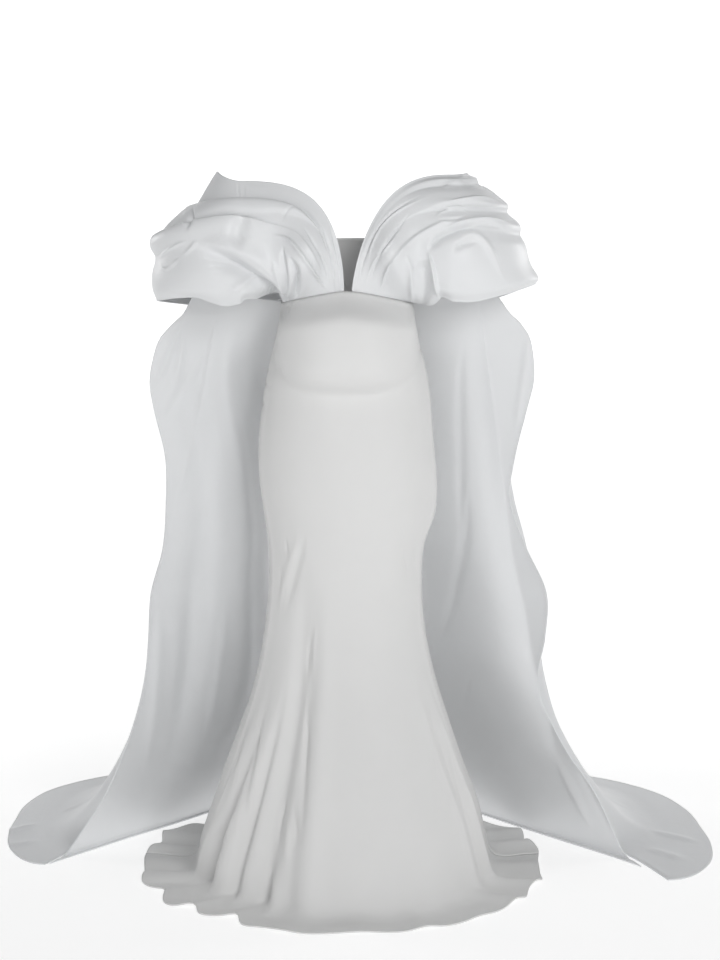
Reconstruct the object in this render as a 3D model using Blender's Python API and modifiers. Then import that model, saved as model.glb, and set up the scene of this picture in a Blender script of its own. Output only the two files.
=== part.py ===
# Maternity gown: a fitted mermaid dress with draped off-shoulder sleeves and two cape wings.
# Lengths are in metres. X is to the right as seen from the front, the front faces -Y, Z is up.
# Heights in the tables are above the floor; the origin is at bust height on the body's axis.
import math

import bpy
import numpy as np

BUST_HEIGHT = 1.300
CREPE_WALL = 0.0016
ORGANZA_WALL = 0.0014
SEAM_GAP = 0.0003

RING_POWER = 2.2
SEAM_CENTRE = 1.270
SEAM_DROP = 0.029
SEAM_HALF = 0.138
SEAM_FRONT = 0.137

BELLY_CENTRE_Y = -0.060
BELLY_HEIGHT = 1.160
BELLY_RADII = (0.142, 0.166, 0.128)
BELLY_BLEND = 0.012
BELLY_SIDE = 0.070

ARM_X = 0.215
CUP_X = 0.086
CUP_HEIGHT = 1.338
CUP_DEPTH = 0.046
CUP_WIDTH = 0.046
CUP_TALL = 0.058
RUN_BEND = 2.5
FRONT_PART = 0.46
ARC_PART = 0.84

SKIRT_COLUMNS = "height left right front back centre"
SKIRT = [
    (1.241, 0.138, 0.138, 0.137, 0.095, 0.000),
    (1.200, 0.143, 0.144, 0.168, 0.096, 0.000),
    (1.150, 0.154, 0.154, 0.190, 0.102, 0.000),
    (1.100, 0.166, 0.167, 0.184, 0.116, 0.000),
    (1.040, 0.176, 0.176, 0.166, 0.136, 0.000),
    (0.950, 0.186, 0.183, 0.158, 0.158, 0.000),
    (0.870, 0.185, 0.190, 0.150, 0.165, 0.000),
    (0.800, 0.176, 0.187, 0.143, 0.156, 0.000),
    (0.730, 0.167, 0.164, 0.136, 0.142, 0.000),
    (0.650, 0.166, 0.159, 0.132, 0.134, 0.000),
    (0.560, 0.174, 0.165, 0.136, 0.142, 0.000),
    (0.460, 0.191, 0.184, 0.156, 0.172, 0.005),
    (0.360, 0.219, 0.214, 0.188, 0.220, 0.015),
    (0.260, 0.255, 0.248, 0.226, 0.280, 0.030),
    (0.160, 0.291, 0.286, 0.264, 0.345, 0.050),
    (0.080, 0.318, 0.306, 0.294, 0.400, 0.075),
    (0.026, 0.332, 0.322, 0.316, 0.440, 0.100),
    (0.007, 0.362, 0.352, 0.338, 0.455, 0.125),
    (0.004, 0.412, 0.396, 0.372, 0.465, 0.150),
    (0.003, 0.450, 0.432, 0.396, 0.475, 0.160),
]

FOLD_COLUMNS = "hem_angle top_angle top width depth"
SKIRT_FOLDS = [
    (-152, -146, 0.42, 7.0, 0.020),
    (-141, -134, 0.46, 5.0, -0.018),
    (-131, -126, 0.36, 5.5, 0.022),
    (-122, -118, 0.38, 4.5, -0.016),
    (-114, -111, 0.40, 4.5, 0.014),
    (-106, -103, 0.72, 4.0, -0.010),
    (-56, -60, 0.52, 4.0, -0.009),
    (-46, -50, 0.42, 6.5, 0.018),
    (-34, -40, 0.48, 5.5, -0.018),
    (-22, -27, 0.40, 7.0, 0.018),
    (14, 12, 0.45, 7.0, -0.018),
    (32, 28, 0.40, 8.0, 0.022),
    (52, 50, 0.50, 7.5, -0.022),
    (72, 70, 0.42, 8.5, 0.024),
    (92, 90, 0.52, 8.0, -0.022),
    (112, 110, 0.40, 8.5, 0.024),
    (131, 129, 0.46, 7.5, -0.020),
    (150, 148, 0.38, 8.0, 0.022),
    (167, 166, 0.44, 6.5, -0.016),
]

SLEEVE_COLUMNS = "seam reach reach_height front front_height back back_height end_height bend"
SLEEVE_LEFT = [
    (0.005, 0.270, 1.513, 0.075, 1.492, 0.085, 1.480, 1.400, 1.80),
    (0.012, 0.327, 1.437, 0.115, 1.455, 0.110, 1.430, 1.380, 1.65),
    (0.020, 0.396, 1.376, 0.145, 1.422, 0.125, 1.382, 1.355, 1.45),
    (0.032, 0.394, 1.335, 0.160, 1.366, 0.134, 1.338, 1.325, 1.20),
    (0.062, 0.405, 1.300, 0.168, 1.305, 0.138, 1.290, 1.295, 1.05),
    (0.098, 0.406, 1.268, 0.160, 1.268, 0.130, 1.250, 1.268, 1.00),
    (0.130, 0.384, 1.246, 0.135, 1.250, 0.112, 1.229, 1.250, 1.00),
]
SLEEVE_RIGHT = [
    (0.011, 0.250, 1.509, 0.075, 1.505, 0.085, 1.480, 1.400, 1.80),
    (0.022, 0.290, 1.476, 0.110, 1.474, 0.108, 1.440, 1.380, 1.65),
    (0.036, 0.332, 1.436, 0.138, 1.441, 0.122, 1.398, 1.358, 1.45),
    (0.054, 0.372, 1.374, 0.158, 1.392, 0.133, 1.348, 1.328, 1.25),
    (0.075, 0.396, 1.312, 0.168, 1.325, 0.138, 1.298, 1.298, 1.05),
    (0.102, 0.397, 1.284, 0.160, 1.275, 0.130, 1.254, 1.270, 1.00),
    (0.130, 0.370, 1.266, 0.135, 1.250, 0.112, 1.229, 1.250, 1.00),
]

TUCK_COLUMNS = "level depth"
TUCKS_LEFT = [(1, 0.012), (2, 0.015), (3, 0.010)]
TUCKS_RIGHT = [(1, 0.009), (2, 0.013), (3, 0.016)]
TUCK_RETURN = 0.14
CREASE_COLUMNS = "inner_x inner_height outer_x outer_height width depth"
CREASES_LEFT = [
    (0.136, 1.250, 0.140, 1.350, 0.016, -0.014),
    (0.150, 1.262, 0.300, 1.352, 0.016, -0.014),
    (0.200, 1.262, 0.330, 1.300, 0.020, 0.010),
]
CREASES_RIGHT = [
    (0.138, 1.250, 0.150, 1.360, 0.016, -0.014),
    (0.178, 1.262, 0.192, 1.345, 0.014, 0.012),
    (0.215, 1.262, 0.330, 1.330, 0.018, -0.012),
]
BACK_END_X = 0.098
PLEAT_DEPTH = 0.003

CAPE_COLUMNS = "height edge_x edge_y fold_x fold_y side_x side_y tip_x tip_y flap bow"
CAPE_LEFT = [
    (1.236, 0.318, 0.044, 0.105, 0.066, 0.262, 0.108, 0.268, 0.104, 0.016, 0.000),
    (1.206, 0.354, 0.068, 0.106, 0.098, 0.304, 0.112, 0.302, 0.106, 0.018, 0.010),
    (1.180, 0.382, 0.082, 0.108, 0.118, 0.346, 0.134, 0.342, 0.124, 0.020, 0.018),
    (1.145, 0.408, 0.096, 0.112, 0.142, 0.380, 0.172, 0.374, 0.158, 0.024, 0.028),
    (1.070, 0.426, 0.112, 0.118, 0.195, 0.404, 0.228, 0.396, 0.206, 0.028, 0.040),
    (1.000, 0.418, 0.120, 0.122, 0.228, 0.400, 0.256, 0.392, 0.228, 0.034, 0.042),
    (0.900, 0.395, 0.120, 0.124, 0.272, 0.384, 0.282, 0.376, 0.248, 0.042, 0.040),
    (0.805, 0.394, 0.120, 0.124, 0.318, 0.384, 0.300, 0.376, 0.262, 0.048, 0.034),
    (0.700, 0.402, 0.120, 0.122, 0.372, 0.394, 0.316, 0.386, 0.274, 0.052, 0.026),
    (0.600, 0.429, 0.122, 0.120, 0.428, 0.414, 0.330, 0.406, 0.284, 0.055, 0.018),
    (0.500, 0.436, 0.124, 0.120, 0.490, 0.424, 0.342, 0.414, 0.292, 0.056, 0.010),
    (0.420, 0.444, 0.126, 0.120, 0.544, 0.434, 0.352, 0.424, 0.296, 0.054, 0.004),
    (0.340, 0.461, 0.128, 0.120, 0.602, 0.450, 0.362, 0.440, 0.296, 0.052, 0.000),
    (0.250, 0.491, 0.132, 0.120, 0.674, 0.478, 0.372, 0.466, 0.292, 0.050, 0.000),
    (0.145, 0.536, 0.138, 0.120, 0.768, 0.528, 0.386, 0.512, 0.282, 0.046, 0.000),
    (0.070, 0.583, 0.146, 0.118, 0.838, 0.582, 0.398, 0.556, 0.266, 0.042, 0.000),
    (0.022, 0.616, 0.142, 0.112, 0.884, 0.638, 0.406, 0.590, 0.246, 0.040, 0.000),
    (0.006, 0.632, 0.124, 0.100, 0.912, 0.688, 0.410, 0.606, 0.205, 0.038, 0.000),
    (0.004, 0.646, 0.100, 0.084, 0.936, 0.738, 0.412, 0.630, 0.150, 0.038, 0.000),
    (0.003, 0.656, 0.080, 0.066, 0.956, 0.787, 0.414, 0.664, 0.076, 0.038, 0.000),
]
CAPE_RIGHT = [
    (1.236, 0.330, 0.044, 0.105, 0.066, 0.262, 0.108, 0.268, 0.104, 0.016, 0.000),
    (1.206, 0.370, 0.068, 0.106, 0.098, 0.308, 0.112, 0.306, 0.106, 0.018, 0.010),
    (1.180, 0.382, 0.082, 0.108, 0.118, 0.342, 0.134, 0.338, 0.124, 0.020, 0.018),
    (1.145, 0.397, 0.096, 0.112, 0.142, 0.370, 0.172, 0.364, 0.158, 0.024, 0.028),
    (1.070, 0.403, 0.112, 0.118, 0.195, 0.386, 0.228, 0.378, 0.206, 0.028, 0.040),
    (1.000, 0.388, 0.120, 0.122, 0.228, 0.376, 0.256, 0.368, 0.228, 0.034, 0.042),
    (0.900, 0.363, 0.120, 0.124, 0.272, 0.368, 0.282, 0.360, 0.248, 0.042, 0.040),
    (0.805, 0.349, 0.120, 0.124, 0.318, 0.380, 0.300, 0.372, 0.262, 0.048, 0.034),
    (0.700, 0.390, 0.120, 0.122, 0.372, 0.404, 0.316, 0.396, 0.274, 0.052, 0.026),
    (0.600, 0.435, 0.122, 0.120, 0.428, 0.422, 0.330, 0.414, 0.284, 0.055, 0.018),
    (0.500, 0.431, 0.124, 0.120, 0.490, 0.438, 0.342, 0.428, 0.292, 0.058, 0.010),
    (0.420, 0.414, 0.126, 0.120, 0.544, 0.448, 0.352, 0.438, 0.296, 0.060, 0.004),
    (0.340, 0.435, 0.128, 0.120, 0.602, 0.460, 0.362, 0.448, 0.296, 0.062, 0.000),
    (0.250, 0.480, 0.132, 0.120, 0.674, 0.486, 0.372, 0.472, 0.292, 0.062, 0.000),
    (0.145, 0.548, 0.138, 0.120, 0.768, 0.540, 0.386, 0.520, 0.278, 0.060, 0.000),
    (0.070, 0.585, 0.140, 0.118, 0.838, 0.592, 0.388, 0.556, 0.260, 0.058, 0.000),
    (0.022, 0.608, 0.132, 0.112, 0.884, 0.648, 0.376, 0.585, 0.240, 0.056, 0.000),
    (0.006, 0.622, 0.112, 0.100, 0.912, 0.706, 0.352, 0.602, 0.190, 0.054, 0.000),
    (0.004, 0.634, 0.088, 0.084, 0.936, 0.766, 0.320, 0.648, 0.085, 0.052, 0.000),
    (0.003, 0.644, 0.060, 0.066, 0.956, 0.825, 0.290, 0.690, -0.038, 0.050, 0.000),
]
SIDE_POWER = 2.6
TRAIN_FINE = 60

VALLEY_COLUMNS = "along top foot width depth"
VALLEYS_LEFT = [
    (0.10, 1.20, 0.10, 0.035, 0.010),
    (0.20, 1.22, 0.30, 0.030, -0.016),
    (0.31, 1.24, 0.05, 0.035, 0.012),
    (0.50, 1.20, 0.12, 0.030, -0.018),
    (0.61, 1.15, 0.12, 0.032, 0.022),
    (0.72, 1.20, 0.12, 0.030, -0.022),
    (0.83, 1.10, 0.12, 0.032, 0.022),
    (0.92, 0.90, 0.12, 0.026, -0.016),
]
VALLEYS_RIGHT = [
    (0.34, 1.20, 0.05, 0.035, 0.010),
    (0.49, 1.20, 0.12, 0.030, -0.018),
    (0.60, 1.20, 0.12, 0.032, 0.022),
    (0.71, 1.10, 0.12, 0.030, -0.022),
    (0.82, 1.15, 0.12, 0.032, 0.022),
    (0.92, 0.95, 0.12, 0.026, -0.018),
]

DENT_COLUMNS = "height x depth"
DENT_RIGHT = [
    (1.234, 0.280, 0.006), (1.153, 0.294, 0.030), (1.068, 0.307, 0.042), (0.960, 0.323, 0.045),
    (0.874, 0.334, 0.045), (0.809, 0.344, 0.045), (0.700, 0.357, 0.045), (0.612, 0.376, 0.044),
    (0.561, 0.388, 0.042), (0.433, 0.412, 0.038), (0.342, 0.441, 0.028), (0.242, 0.461, 0.014),
    (0.169, 0.490, 0.000), (0.000, 0.540, 0.000),
]
DENT_EDGE = 0.016
DENT_REACH = 0.075
DENT_POWER = 1.5

LAST_LEVEL = 6.0
HANG_DROP = 0.0007
FLAP_LIFT = 0.026
FLAP_SHARE = 0.40
FLAP_ROUND = 1.30
VALLEY_FADE = 0.16

BODICE_COLUMNS = "height half front back"
BODICE = [
    (1.228, 0.137, 0.136, 0.094),
    (1.280, 0.142, 0.132, 0.098),
    (1.325, 0.147, 0.126, 0.103),
    (1.372, 0.150, 0.120, 0.106),
]
BODICE_FRONT_ANGLE = -44.0
BODICE_INSET = CREPE_WALL + SEAM_GAP + 0.0004

FRONT_ANGLES = (-170, -161, *np.linspace(-155, -104, 14), -97, -87, -77, -67,
                *np.linspace(-60, -14, 10), -7)
SKIRT_CELLS_BACK = 20
BELLY_STEPS = (0, 0.4, 0.8, 1.2, 1.6, 2.0, 2.35, 2.7, 3.0, 3.35, 3.7, 4.2)
SLEEVE_CELLS = 22
FLAP_CELLS = 18
TRAIN_CELLS = 16
BODICE_CELLS = 20
BODICE_STEPS = 4


def table(columns, rows):
    """Turn rows into one array for each named column."""
    return dict(zip(columns.split(), np.array(rows, dtype=float).T))


def smooth(keys, values, at):
    """Read a column between its rows along a smooth curve through all of them."""
    at = np.clip(np.asarray(at, dtype=float), min(keys[0], keys[-1]), max(keys[0], keys[-1]))
    if keys[0] > keys[-1]:
        keys, values = keys[::-1], values[::-1]
    slopes = np.gradient(values, keys)
    row = np.clip(np.searchsorted(keys, at, side="right") - 1, 0, len(keys) - 2)
    span = keys[row + 1] - keys[row]
    t = (at - keys[row]) / span
    start = (1 + 2 * t) * (1 - t) ** 2 * values[row] + t * (1 - t) ** 2 * span * slopes[row]
    finish = t * t * (3 - 2 * t) * values[row + 1] - t * t * (1 - t) * span * slopes[row + 1]
    return start + finish


def ease(t):
    """Rise from 0 to 1 with level ends."""
    t = np.clip(t, 0.0, 1.0)
    return t * t * (3 - 2 * t)


def bump(offset, width):
    """A soft ridge that is 1 in its middle."""
    return np.exp(-(offset / width) ** 2)


def seam_height(x):
    """Height of the empire seam, which is arched up at the centre front."""
    return SEAM_CENTRE - SEAM_DROP * np.minimum(np.abs(x) / SEAM_HALF, 1.0) ** 1.4


def seam_front(x):
    """How far the seam stands in front of the body's axis."""
    share = np.minimum(np.abs(x) / SEAM_HALF, 1.0)
    return SEAM_FRONT * (1.0 - share ** RING_POWER) ** (1.0 / RING_POWER)


def ring(angle, left, right, front, back, centre):
    """A point on the rounded ring that a tube has at one height."""
    cosine, sine = np.cos(angle), np.sin(angle)
    share = 2.0 / RING_POWER
    across = np.sign(cosine) * np.abs(cosine) ** share
    along = np.sign(sine) * np.abs(sine) ** share
    x = np.where(across < 0, left, right) * across
    y = centre + np.where(along < 0, front + centre, back - centre) * along
    return x, y


def skirt_points(angles, steps):
    """The skirt's outer face: angles round the body, steps down the table's rows."""
    rows = table(SKIRT_COLUMNS, SKIRT)
    keys = np.arange(len(SKIRT), dtype=float)
    sizes = {name: smooth(keys, rows[name], steps)[:, None] for name in rows}
    angle = angles[None, :]
    x, y = ring(angle, *(sizes[name] for name in SKIRT_COLUMNS.split()[1:]))
    height = sizes["height"] + 0 * x
    top = ease(1.0 - steps[:, None] / 2.0)
    lift = np.where(np.sin(angle) < 0, seam_height(x), SEAM_CENTRE - SEAM_DROP)
    height = height + (lift - (SEAM_CENTRE - SEAM_DROP)) * top
    y = y + belly(x, y, height)
    normal_x, normal_y = np.cos(angle), np.sin(angle)
    folds = table(FOLD_COLUMNS, SKIRT_FOLDS)
    push = np.zeros_like(x)
    for fold in range(len(SKIRT_FOLDS)):
        drop = np.clip((folds["top"][fold] - height) / folds["top"][fold], 0.0, 1.0)
        turn = folds["top_angle"][fold] + (folds["hem_angle"] - folds["top_angle"])[fold] * drop
        away = np.degrees(angle) - turn
        push += folds["depth"][fold] * ease(drop * 1.3) * bump(away, folds["width"][fold])
    return np.stack([x + push * normal_x, y + push * normal_y, height - BUST_HEIGHT], axis=-1)


def belly(x, y, height):
    """How far the belly room pushes the front forward of the plain ring."""
    across, deep, tall = BELLY_RADII
    inside = 1.0 - (x / across) ** 2 - ((height - BELLY_HEIGHT) / tall) ** 2
    reach = BELLY_CENTRE_Y - deep * np.sqrt(np.maximum(inside, 0.0))
    push = BELLY_BLEND * np.log1p(np.exp((y - reach) / BELLY_BLEND))
    return -push * ease(-y / BELLY_SIDE)


def sleeve_points(around, levels, rows, tucks, side):
    """A drape from the centre front, over the cup and round the arm to the back.

    The right one's tucks hang over the cloth below them, the left one's go in behind it.
    """
    columns = table(SLEEVE_COLUMNS, rows)
    keys = np.arange(len(rows), dtype=float)
    size = {name: smooth(keys, columns[name], levels)[:, None] for name in columns}
    u = around[None, :]
    run = np.clip(u / FRONT_PART, 0.0, 1.0)
    arc = np.clip((u - FRONT_PART) / (ARC_PART - FRONT_PART), 0.0, 1.0)
    rest = np.clip((u - ARC_PART) / (1.0 - ARC_PART), 0.0, 1.0)
    turn = math.pi * (arc - 0.5)

    x = size["seam"] + (ARM_X - size["seam"]) * run ** size["bend"]
    depth = seam_front(size["seam"]) * (1 - ease(run)) + size["front"] * ease(run)
    rise = 1.0 - (1.0 - run) ** RUN_BEND
    low = seam_height(size["seam"]) + SEAM_GAP
    height = low + (size["front_height"] - low) * rise
    y = -depth

    y = np.where(arc > 0, np.where(turn < 0, size["front"], size["back"]) * np.sin(turn), y)
    x = np.where(arc > 0, ARM_X + (size["reach"] - ARM_X) * np.cos(turn), x)
    forward = size["front_height"] + (size["reach_height"] - size["front_height"]) * ease(2 * arc)
    rear = size["reach_height"] + (size["back_height"] - size["reach_height"]) * ease(2 * arc - 1)
    height = np.where(arc > 0.5, rear, np.where(arc > 0, forward, height))

    x = x + (BACK_END_X - ARM_X) * rest
    end_y = bodice_back_y(size["end_height"]) + SEAM_GAP + ORGANZA_WALL
    y = y + (end_y - size["back"]) * ease(rest)
    height = height + (size["end_height"] - size["back_height"]) * ease(rest)

    cup = CUP_DEPTH * bump(x - CUP_X, CUP_WIDTH) * bump(height - CUP_HEIGHT, CUP_TALL)
    cup = cup * (u < FRONT_PART) * ease(run * 3.0)
    grow = ease(run * 1.15) * (1.0 - 0.75 * ease(rest))
    push = np.zeros_like(x)
    folds = table(TUCK_COLUMNS, tucks)
    for tuck in range(len(tucks)):
        past = side * (levels[:, None] - folds["level"][tuck])
        along = np.clip(1.0 + past, 0.0, 1.0)
        swell = np.where(past <= 0, 0.6 * along ** 1.6 + 0.4 * np.sin(math.pi * along), 0.0)
        under = np.where(past > 0, 0.6 * np.maximum(1.0 - past / TUCK_RETURN, 0.0), 0.0)
        push += folds["depth"][tuck] * (swell + under) * grow
    ripple = PLEAT_DEPTH * np.cos(2 * math.pi * 2 * levels[:, None])
    push += ripple * ease(run * 4.0) * (1.0 - ease(arc * 2.0)) + cup
    push += creases(x, height, rows is SLEEVE_LEFT) * (turn < 0) * ease(run * 3.0)
    normal_x = np.where(arc > 0, np.cos(turn), 0.0) * (rest <= 0)
    normal_y = np.where(arc > 0, np.sin(turn), -1.0)
    x, y = x + push * normal_x, y + push * normal_y
    return np.stack([side * x, y, height - BUST_HEIGHT], axis=-1)


def creases(x, height, is_left):
    """Soft troughs and ridges along straight lines on the front of a sleeve."""
    lines = table(CREASE_COLUMNS, CREASES_LEFT if is_left else CREASES_RIGHT)
    push = np.zeros_like(x)
    for line in range(len(lines["depth"])):
        inner = np.array([lines["inner_x"][line], lines["inner_height"][line]])
        reach = np.array([lines["outer_x"][line], lines["outer_height"][line]]) - inner
        length = np.linalg.norm(reach)
        along = ((x - inner[0]) * reach[0] + (height - inner[1]) * reach[1]) / length ** 2
        away = ((x - inner[0]) * reach[1] - (height - inner[1]) * reach[0]) / length
        here = ease(along * 3.0 + 1.0) * ease((1.0 - along) * 3.0 + 1.0)
        push += lines["depth"][line] * here * bump(away, lines["width"][line])
    return push


def train(fold, outer, tip, bow, back):
    """The back layer in plan: from its fold out to its side, then forward to its tip."""
    turn = np.linspace(0.0, math.pi / 2.0, TRAIN_FINE)
    power = 2.0 / SIDE_POWER
    rear_x = fold[..., 0] + (outer - fold)[..., 0] * np.sin(turn) ** power
    rear_y = outer[..., 1] + (fold - outer)[..., 1] * np.maximum(np.cos(turn), 0.0) ** power
    rear_y = rear_y + bow * np.sin(2.0 * turn)
    ahead_x = tip[..., 0] + (outer - tip)[..., 0] * np.cos(turn[1:])
    ahead_y = outer[..., 1] + (tip - outer)[..., 1] * np.sin(turn[1:])
    curve_x = np.concatenate([rear_x, ahead_x], axis=1)
    curve_y = np.concatenate([rear_y, ahead_y], axis=1)
    step = np.hypot(np.diff(curve_x), np.diff(curve_y))
    length = np.concatenate([0 * step[:, :1], np.cumsum(step, axis=1)], axis=1)
    even = back * length[:, -1:]
    return np.stack([[np.interp(*row) for row in zip(even, length, curve)]
                     for curve in (curve_x, curve_y)], axis=-1)


def cape_points(around, steps, side, rows, valleys, dent, hem):
    """A wing: its front flap, the fold behind the skirt and the back layer with its train."""
    columns = table(CAPE_COLUMNS, rows)
    keys = np.arange(len(rows), dtype=float)
    size = {name: smooth(keys, columns[name], steps)[:, None] for name in columns}
    edge, fold, outer, tip = (np.stack([size[name + "_x"], size[name + "_y"]], axis=-1)
                              for name in ("edge", "fold", "side", "tip"))
    u = around[None, :, None]
    flap = np.clip(u / FLAP_SHARE, 0.0, 1.0)
    back = np.clip((u - FLAP_SHARE) / (1.0 - FLAP_SHARE), 0.0, 1.0)

    chord = edge - fold
    out = np.stack([chord[..., 1], -chord[..., 0]], axis=-1)
    out = out / np.linalg.norm(out, axis=-1, keepdims=True)
    swell = size["flap"][..., None] * np.sin(math.pi * flap ** FLAP_ROUND)
    front = edge + (fold - edge) * flap + out * swell
    rear = train(fold, outer, tip, size["bow"], back[..., 0])
    plan = np.where(u <= FLAP_SHARE, front, rear)

    tangent = np.gradient(plan, axis=1)
    tangent = tangent / np.linalg.norm(tangent, axis=-1, keepdims=True)
    normal = np.stack([tangent[..., 1], -tangent[..., 0]], axis=-1)
    height = size["height"] + 0 * u[..., 0]
    folds = table(VALLEY_COLUMNS, valleys)
    push = np.zeros_like(height)
    for valley in range(len(valleys)):
        top, foot = folds["top"][valley], folds["foot"][valley]
        here = ease((top - height) / VALLEY_FADE) * ease((height - foot) / VALLEY_FADE + 1.0)
        push += folds["depth"][valley] * here * bump(u[..., 0] - folds["along"][valley],
                                                     folds["width"][valley])
    if dent:
        line = table(DENT_COLUMNS, dent)
        gap = plan[..., 0] - smooth(line["height"], line["x"], height)
        share = np.maximum(-gap, 0.0)
        sink = (1.0 - np.exp(-share / DENT_EDGE)) * np.exp(-(share / DENT_REACH) ** DENT_POWER)
        on_flap = ease((FLAP_SHARE - 0.02 - u[..., 0]) / 0.06)
        push -= smooth(line["height"], line["depth"], height) * sink * on_flap
    plan = plan + normal * push[..., None]
    points = np.stack([side * plan[..., 0], plan[..., 1], height - BUST_HEIGHT], axis=-1)
    sewn = around >= FLAP_SHARE - 0.001
    line_x, line_y, line_z = side * hem[::-1, 0], hem[::-1, 1], hem[::-1, 2]
    reach = np.linspace(fold[0, 0, 0], tip[0, 0, 0], np.count_nonzero(sewn))
    for corner in line_x[(line_x > reach[1]) & (line_x < reach[-2])]:
        reach[np.abs(reach - corner).argmin()] = corner
    points[0, sewn, 0] = side * reach
    points[0, sewn, 1] = np.interp(reach, line_x, line_y)
    points[0, sewn, 2] = np.interp(reach, line_x, line_z) - HANG_DROP
    points[0, ~sewn, 2] += FLAP_LIFT * (1.0 - around[~sewn] / FLAP_SHARE)
    return points


def bodice_back_y(height):
    """How far the back band stands behind the axis where the drapes end on it."""
    rows = table(BODICE_COLUMNS, BODICE)
    half = smooth(rows["height"], rows["half"], height) - BODICE_INSET
    back = smooth(rows["height"], rows["back"], height) - BODICE_INSET
    return back * (1.0 - (BACK_END_X / half) ** RING_POWER) ** (1.0 / RING_POWER)


def bodice_points(angles, steps):
    """The plain band round the back, with its ends behind the drapes."""
    rows = table(BODICE_COLUMNS, BODICE)
    keys = np.arange(len(BODICE), dtype=float)
    size = {name: smooth(keys, rows[name], steps)[:, None] for name in rows}
    half = size["half"] - BODICE_INSET
    x, y = ring(angles[None, :], half, half, size["front"] - BODICE_INSET,
                size["back"] - BODICE_INSET, 0.0)
    ahead = ease(-y / SEAM_FRONT)
    raised = (seam_height(x) - seam_height(SEAM_HALF)) * ahead * (1.0 - steps[:, None] / 3.0)
    return np.stack([x, y, size["height"] + raised - BUST_HEIGHT], axis=-1)


def material(name, colour, roughness):
    """A plain shader for one kind of cloth."""
    shade = bpy.data.materials.new(name)
    shade.use_nodes = True
    shader = shade.node_tree.nodes["Principled BSDF"]
    shader.inputs["Base Color"].default_value = (*colour, 1.0)
    shader.inputs["Roughness"].default_value = roughness
    return shade


def cloth(name, points, wall, shade, flip=False):
    """A sheet through a grid of points, given its thickness on the inner side."""
    rows, cols = points.shape[:2]
    index = np.arange(rows * cols).reshape(rows, cols)
    faces = np.stack([index[:-1, :-1], index[1:, :-1], index[1:, 1:], index[:-1, 1:]], axis=-1)
    faces = faces.reshape(-1, 4)
    if flip:
        faces = faces[:, ::-1]
    mesh = bpy.data.meshes.new(name)
    mesh.from_pydata(points.reshape(-1, 3).tolist(), [], faces.tolist())
    mesh.materials.append(shade)
    sheet = bpy.data.objects.new(name, mesh)
    gown.objects.link(sheet)
    thicken = sheet.modifiers.new("wall", "SOLIDIFY")
    thicken.thickness = wall
    thicken.offset = -1.0
    return sheet


for old in list(bpy.data.objects):
    bpy.data.objects.remove(old)

gown = bpy.data.collections.new("maternity_gown")
bpy.context.scene.collection.children.link(gown)
crepe = material("matte white crepe", (0.90, 0.90, 0.89), 0.75)
organza = material("white organza", (0.88, 0.90, 0.92), 0.45)

side_gap = math.asin(SEAM_GAP / SEAM_HALF)
front_angles = np.array([-math.pi + side_gap, *np.radians(FRONT_ANGLES), -side_gap])
back_angles = np.linspace(side_gap, math.pi - side_gap, SKIRT_CELLS_BACK + 1)
skirt_steps = np.array([*BELLY_STEPS, *range(5, len(SKIRT))], dtype=float)
cloth("skirt_front", skirt_points(front_angles, skirt_steps), CREPE_WALL, crepe)
cloth("skirt_back", skirt_points(back_angles, skirt_steps), CREPE_WALL, crepe)

bodice_from = math.radians(BODICE_FRONT_ANGLE)
bodice_angles = np.linspace(bodice_from, math.pi - bodice_from, BODICE_CELLS + 1)
bodice_steps = np.linspace(0, len(BODICE) - 1, BODICE_STEPS + 1)
bodice = bodice_points(bodice_angles, bodice_steps)
cloth("bodice_back", bodice, CREPE_WALL, crepe, flip=True)

sleeve_around = np.linspace(0, 1, SLEEVE_CELLS + 1)
sleeve_levels = np.concatenate([np.array([0, 0.14, 0.42, 0.72]) + level for level in range(6)])
sleeve_levels = np.append(sleeve_levels, LAST_LEVEL)
cape_around = np.concatenate([np.linspace(0, FLAP_SHARE, FLAP_CELLS, endpoint=False),
                              np.linspace(FLAP_SHARE, 1, TRAIN_CELLS + 1)])
cape_steps = np.arange(len(CAPE_LEFT), dtype=float)
behind = sleeve_around > (FRONT_PART + ARC_PART) / 2

SIDES = (
    (-1, "left", SLEEVE_LEFT, TUCKS_LEFT, CAPE_LEFT, VALLEYS_LEFT, ()),
    (1, "right", SLEEVE_RIGHT, TUCKS_RIGHT, CAPE_RIGHT, VALLEYS_RIGHT, DENT_RIGHT),
)
for side, name, rows, tucks, wing_rows, valleys, dent in SIDES:
    levels = sleeve_levels if side > 0 else LAST_LEVEL - sleeve_levels[::-1]
    drape = sleeve_points(sleeve_around, levels, rows, tucks, side)
    cloth("drape_" + name, drape, ORGANZA_WALL, organza, flip=side < 0)
    sewn_line = drape[-1, behind]
    wing = cape_points(cape_around, cape_steps, side, wing_rows, valleys, dent, sewn_line)
    cloth("cape_" + name, wing, ORGANZA_WALL, organza, flip=side > 0)
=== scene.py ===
import math

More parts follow.
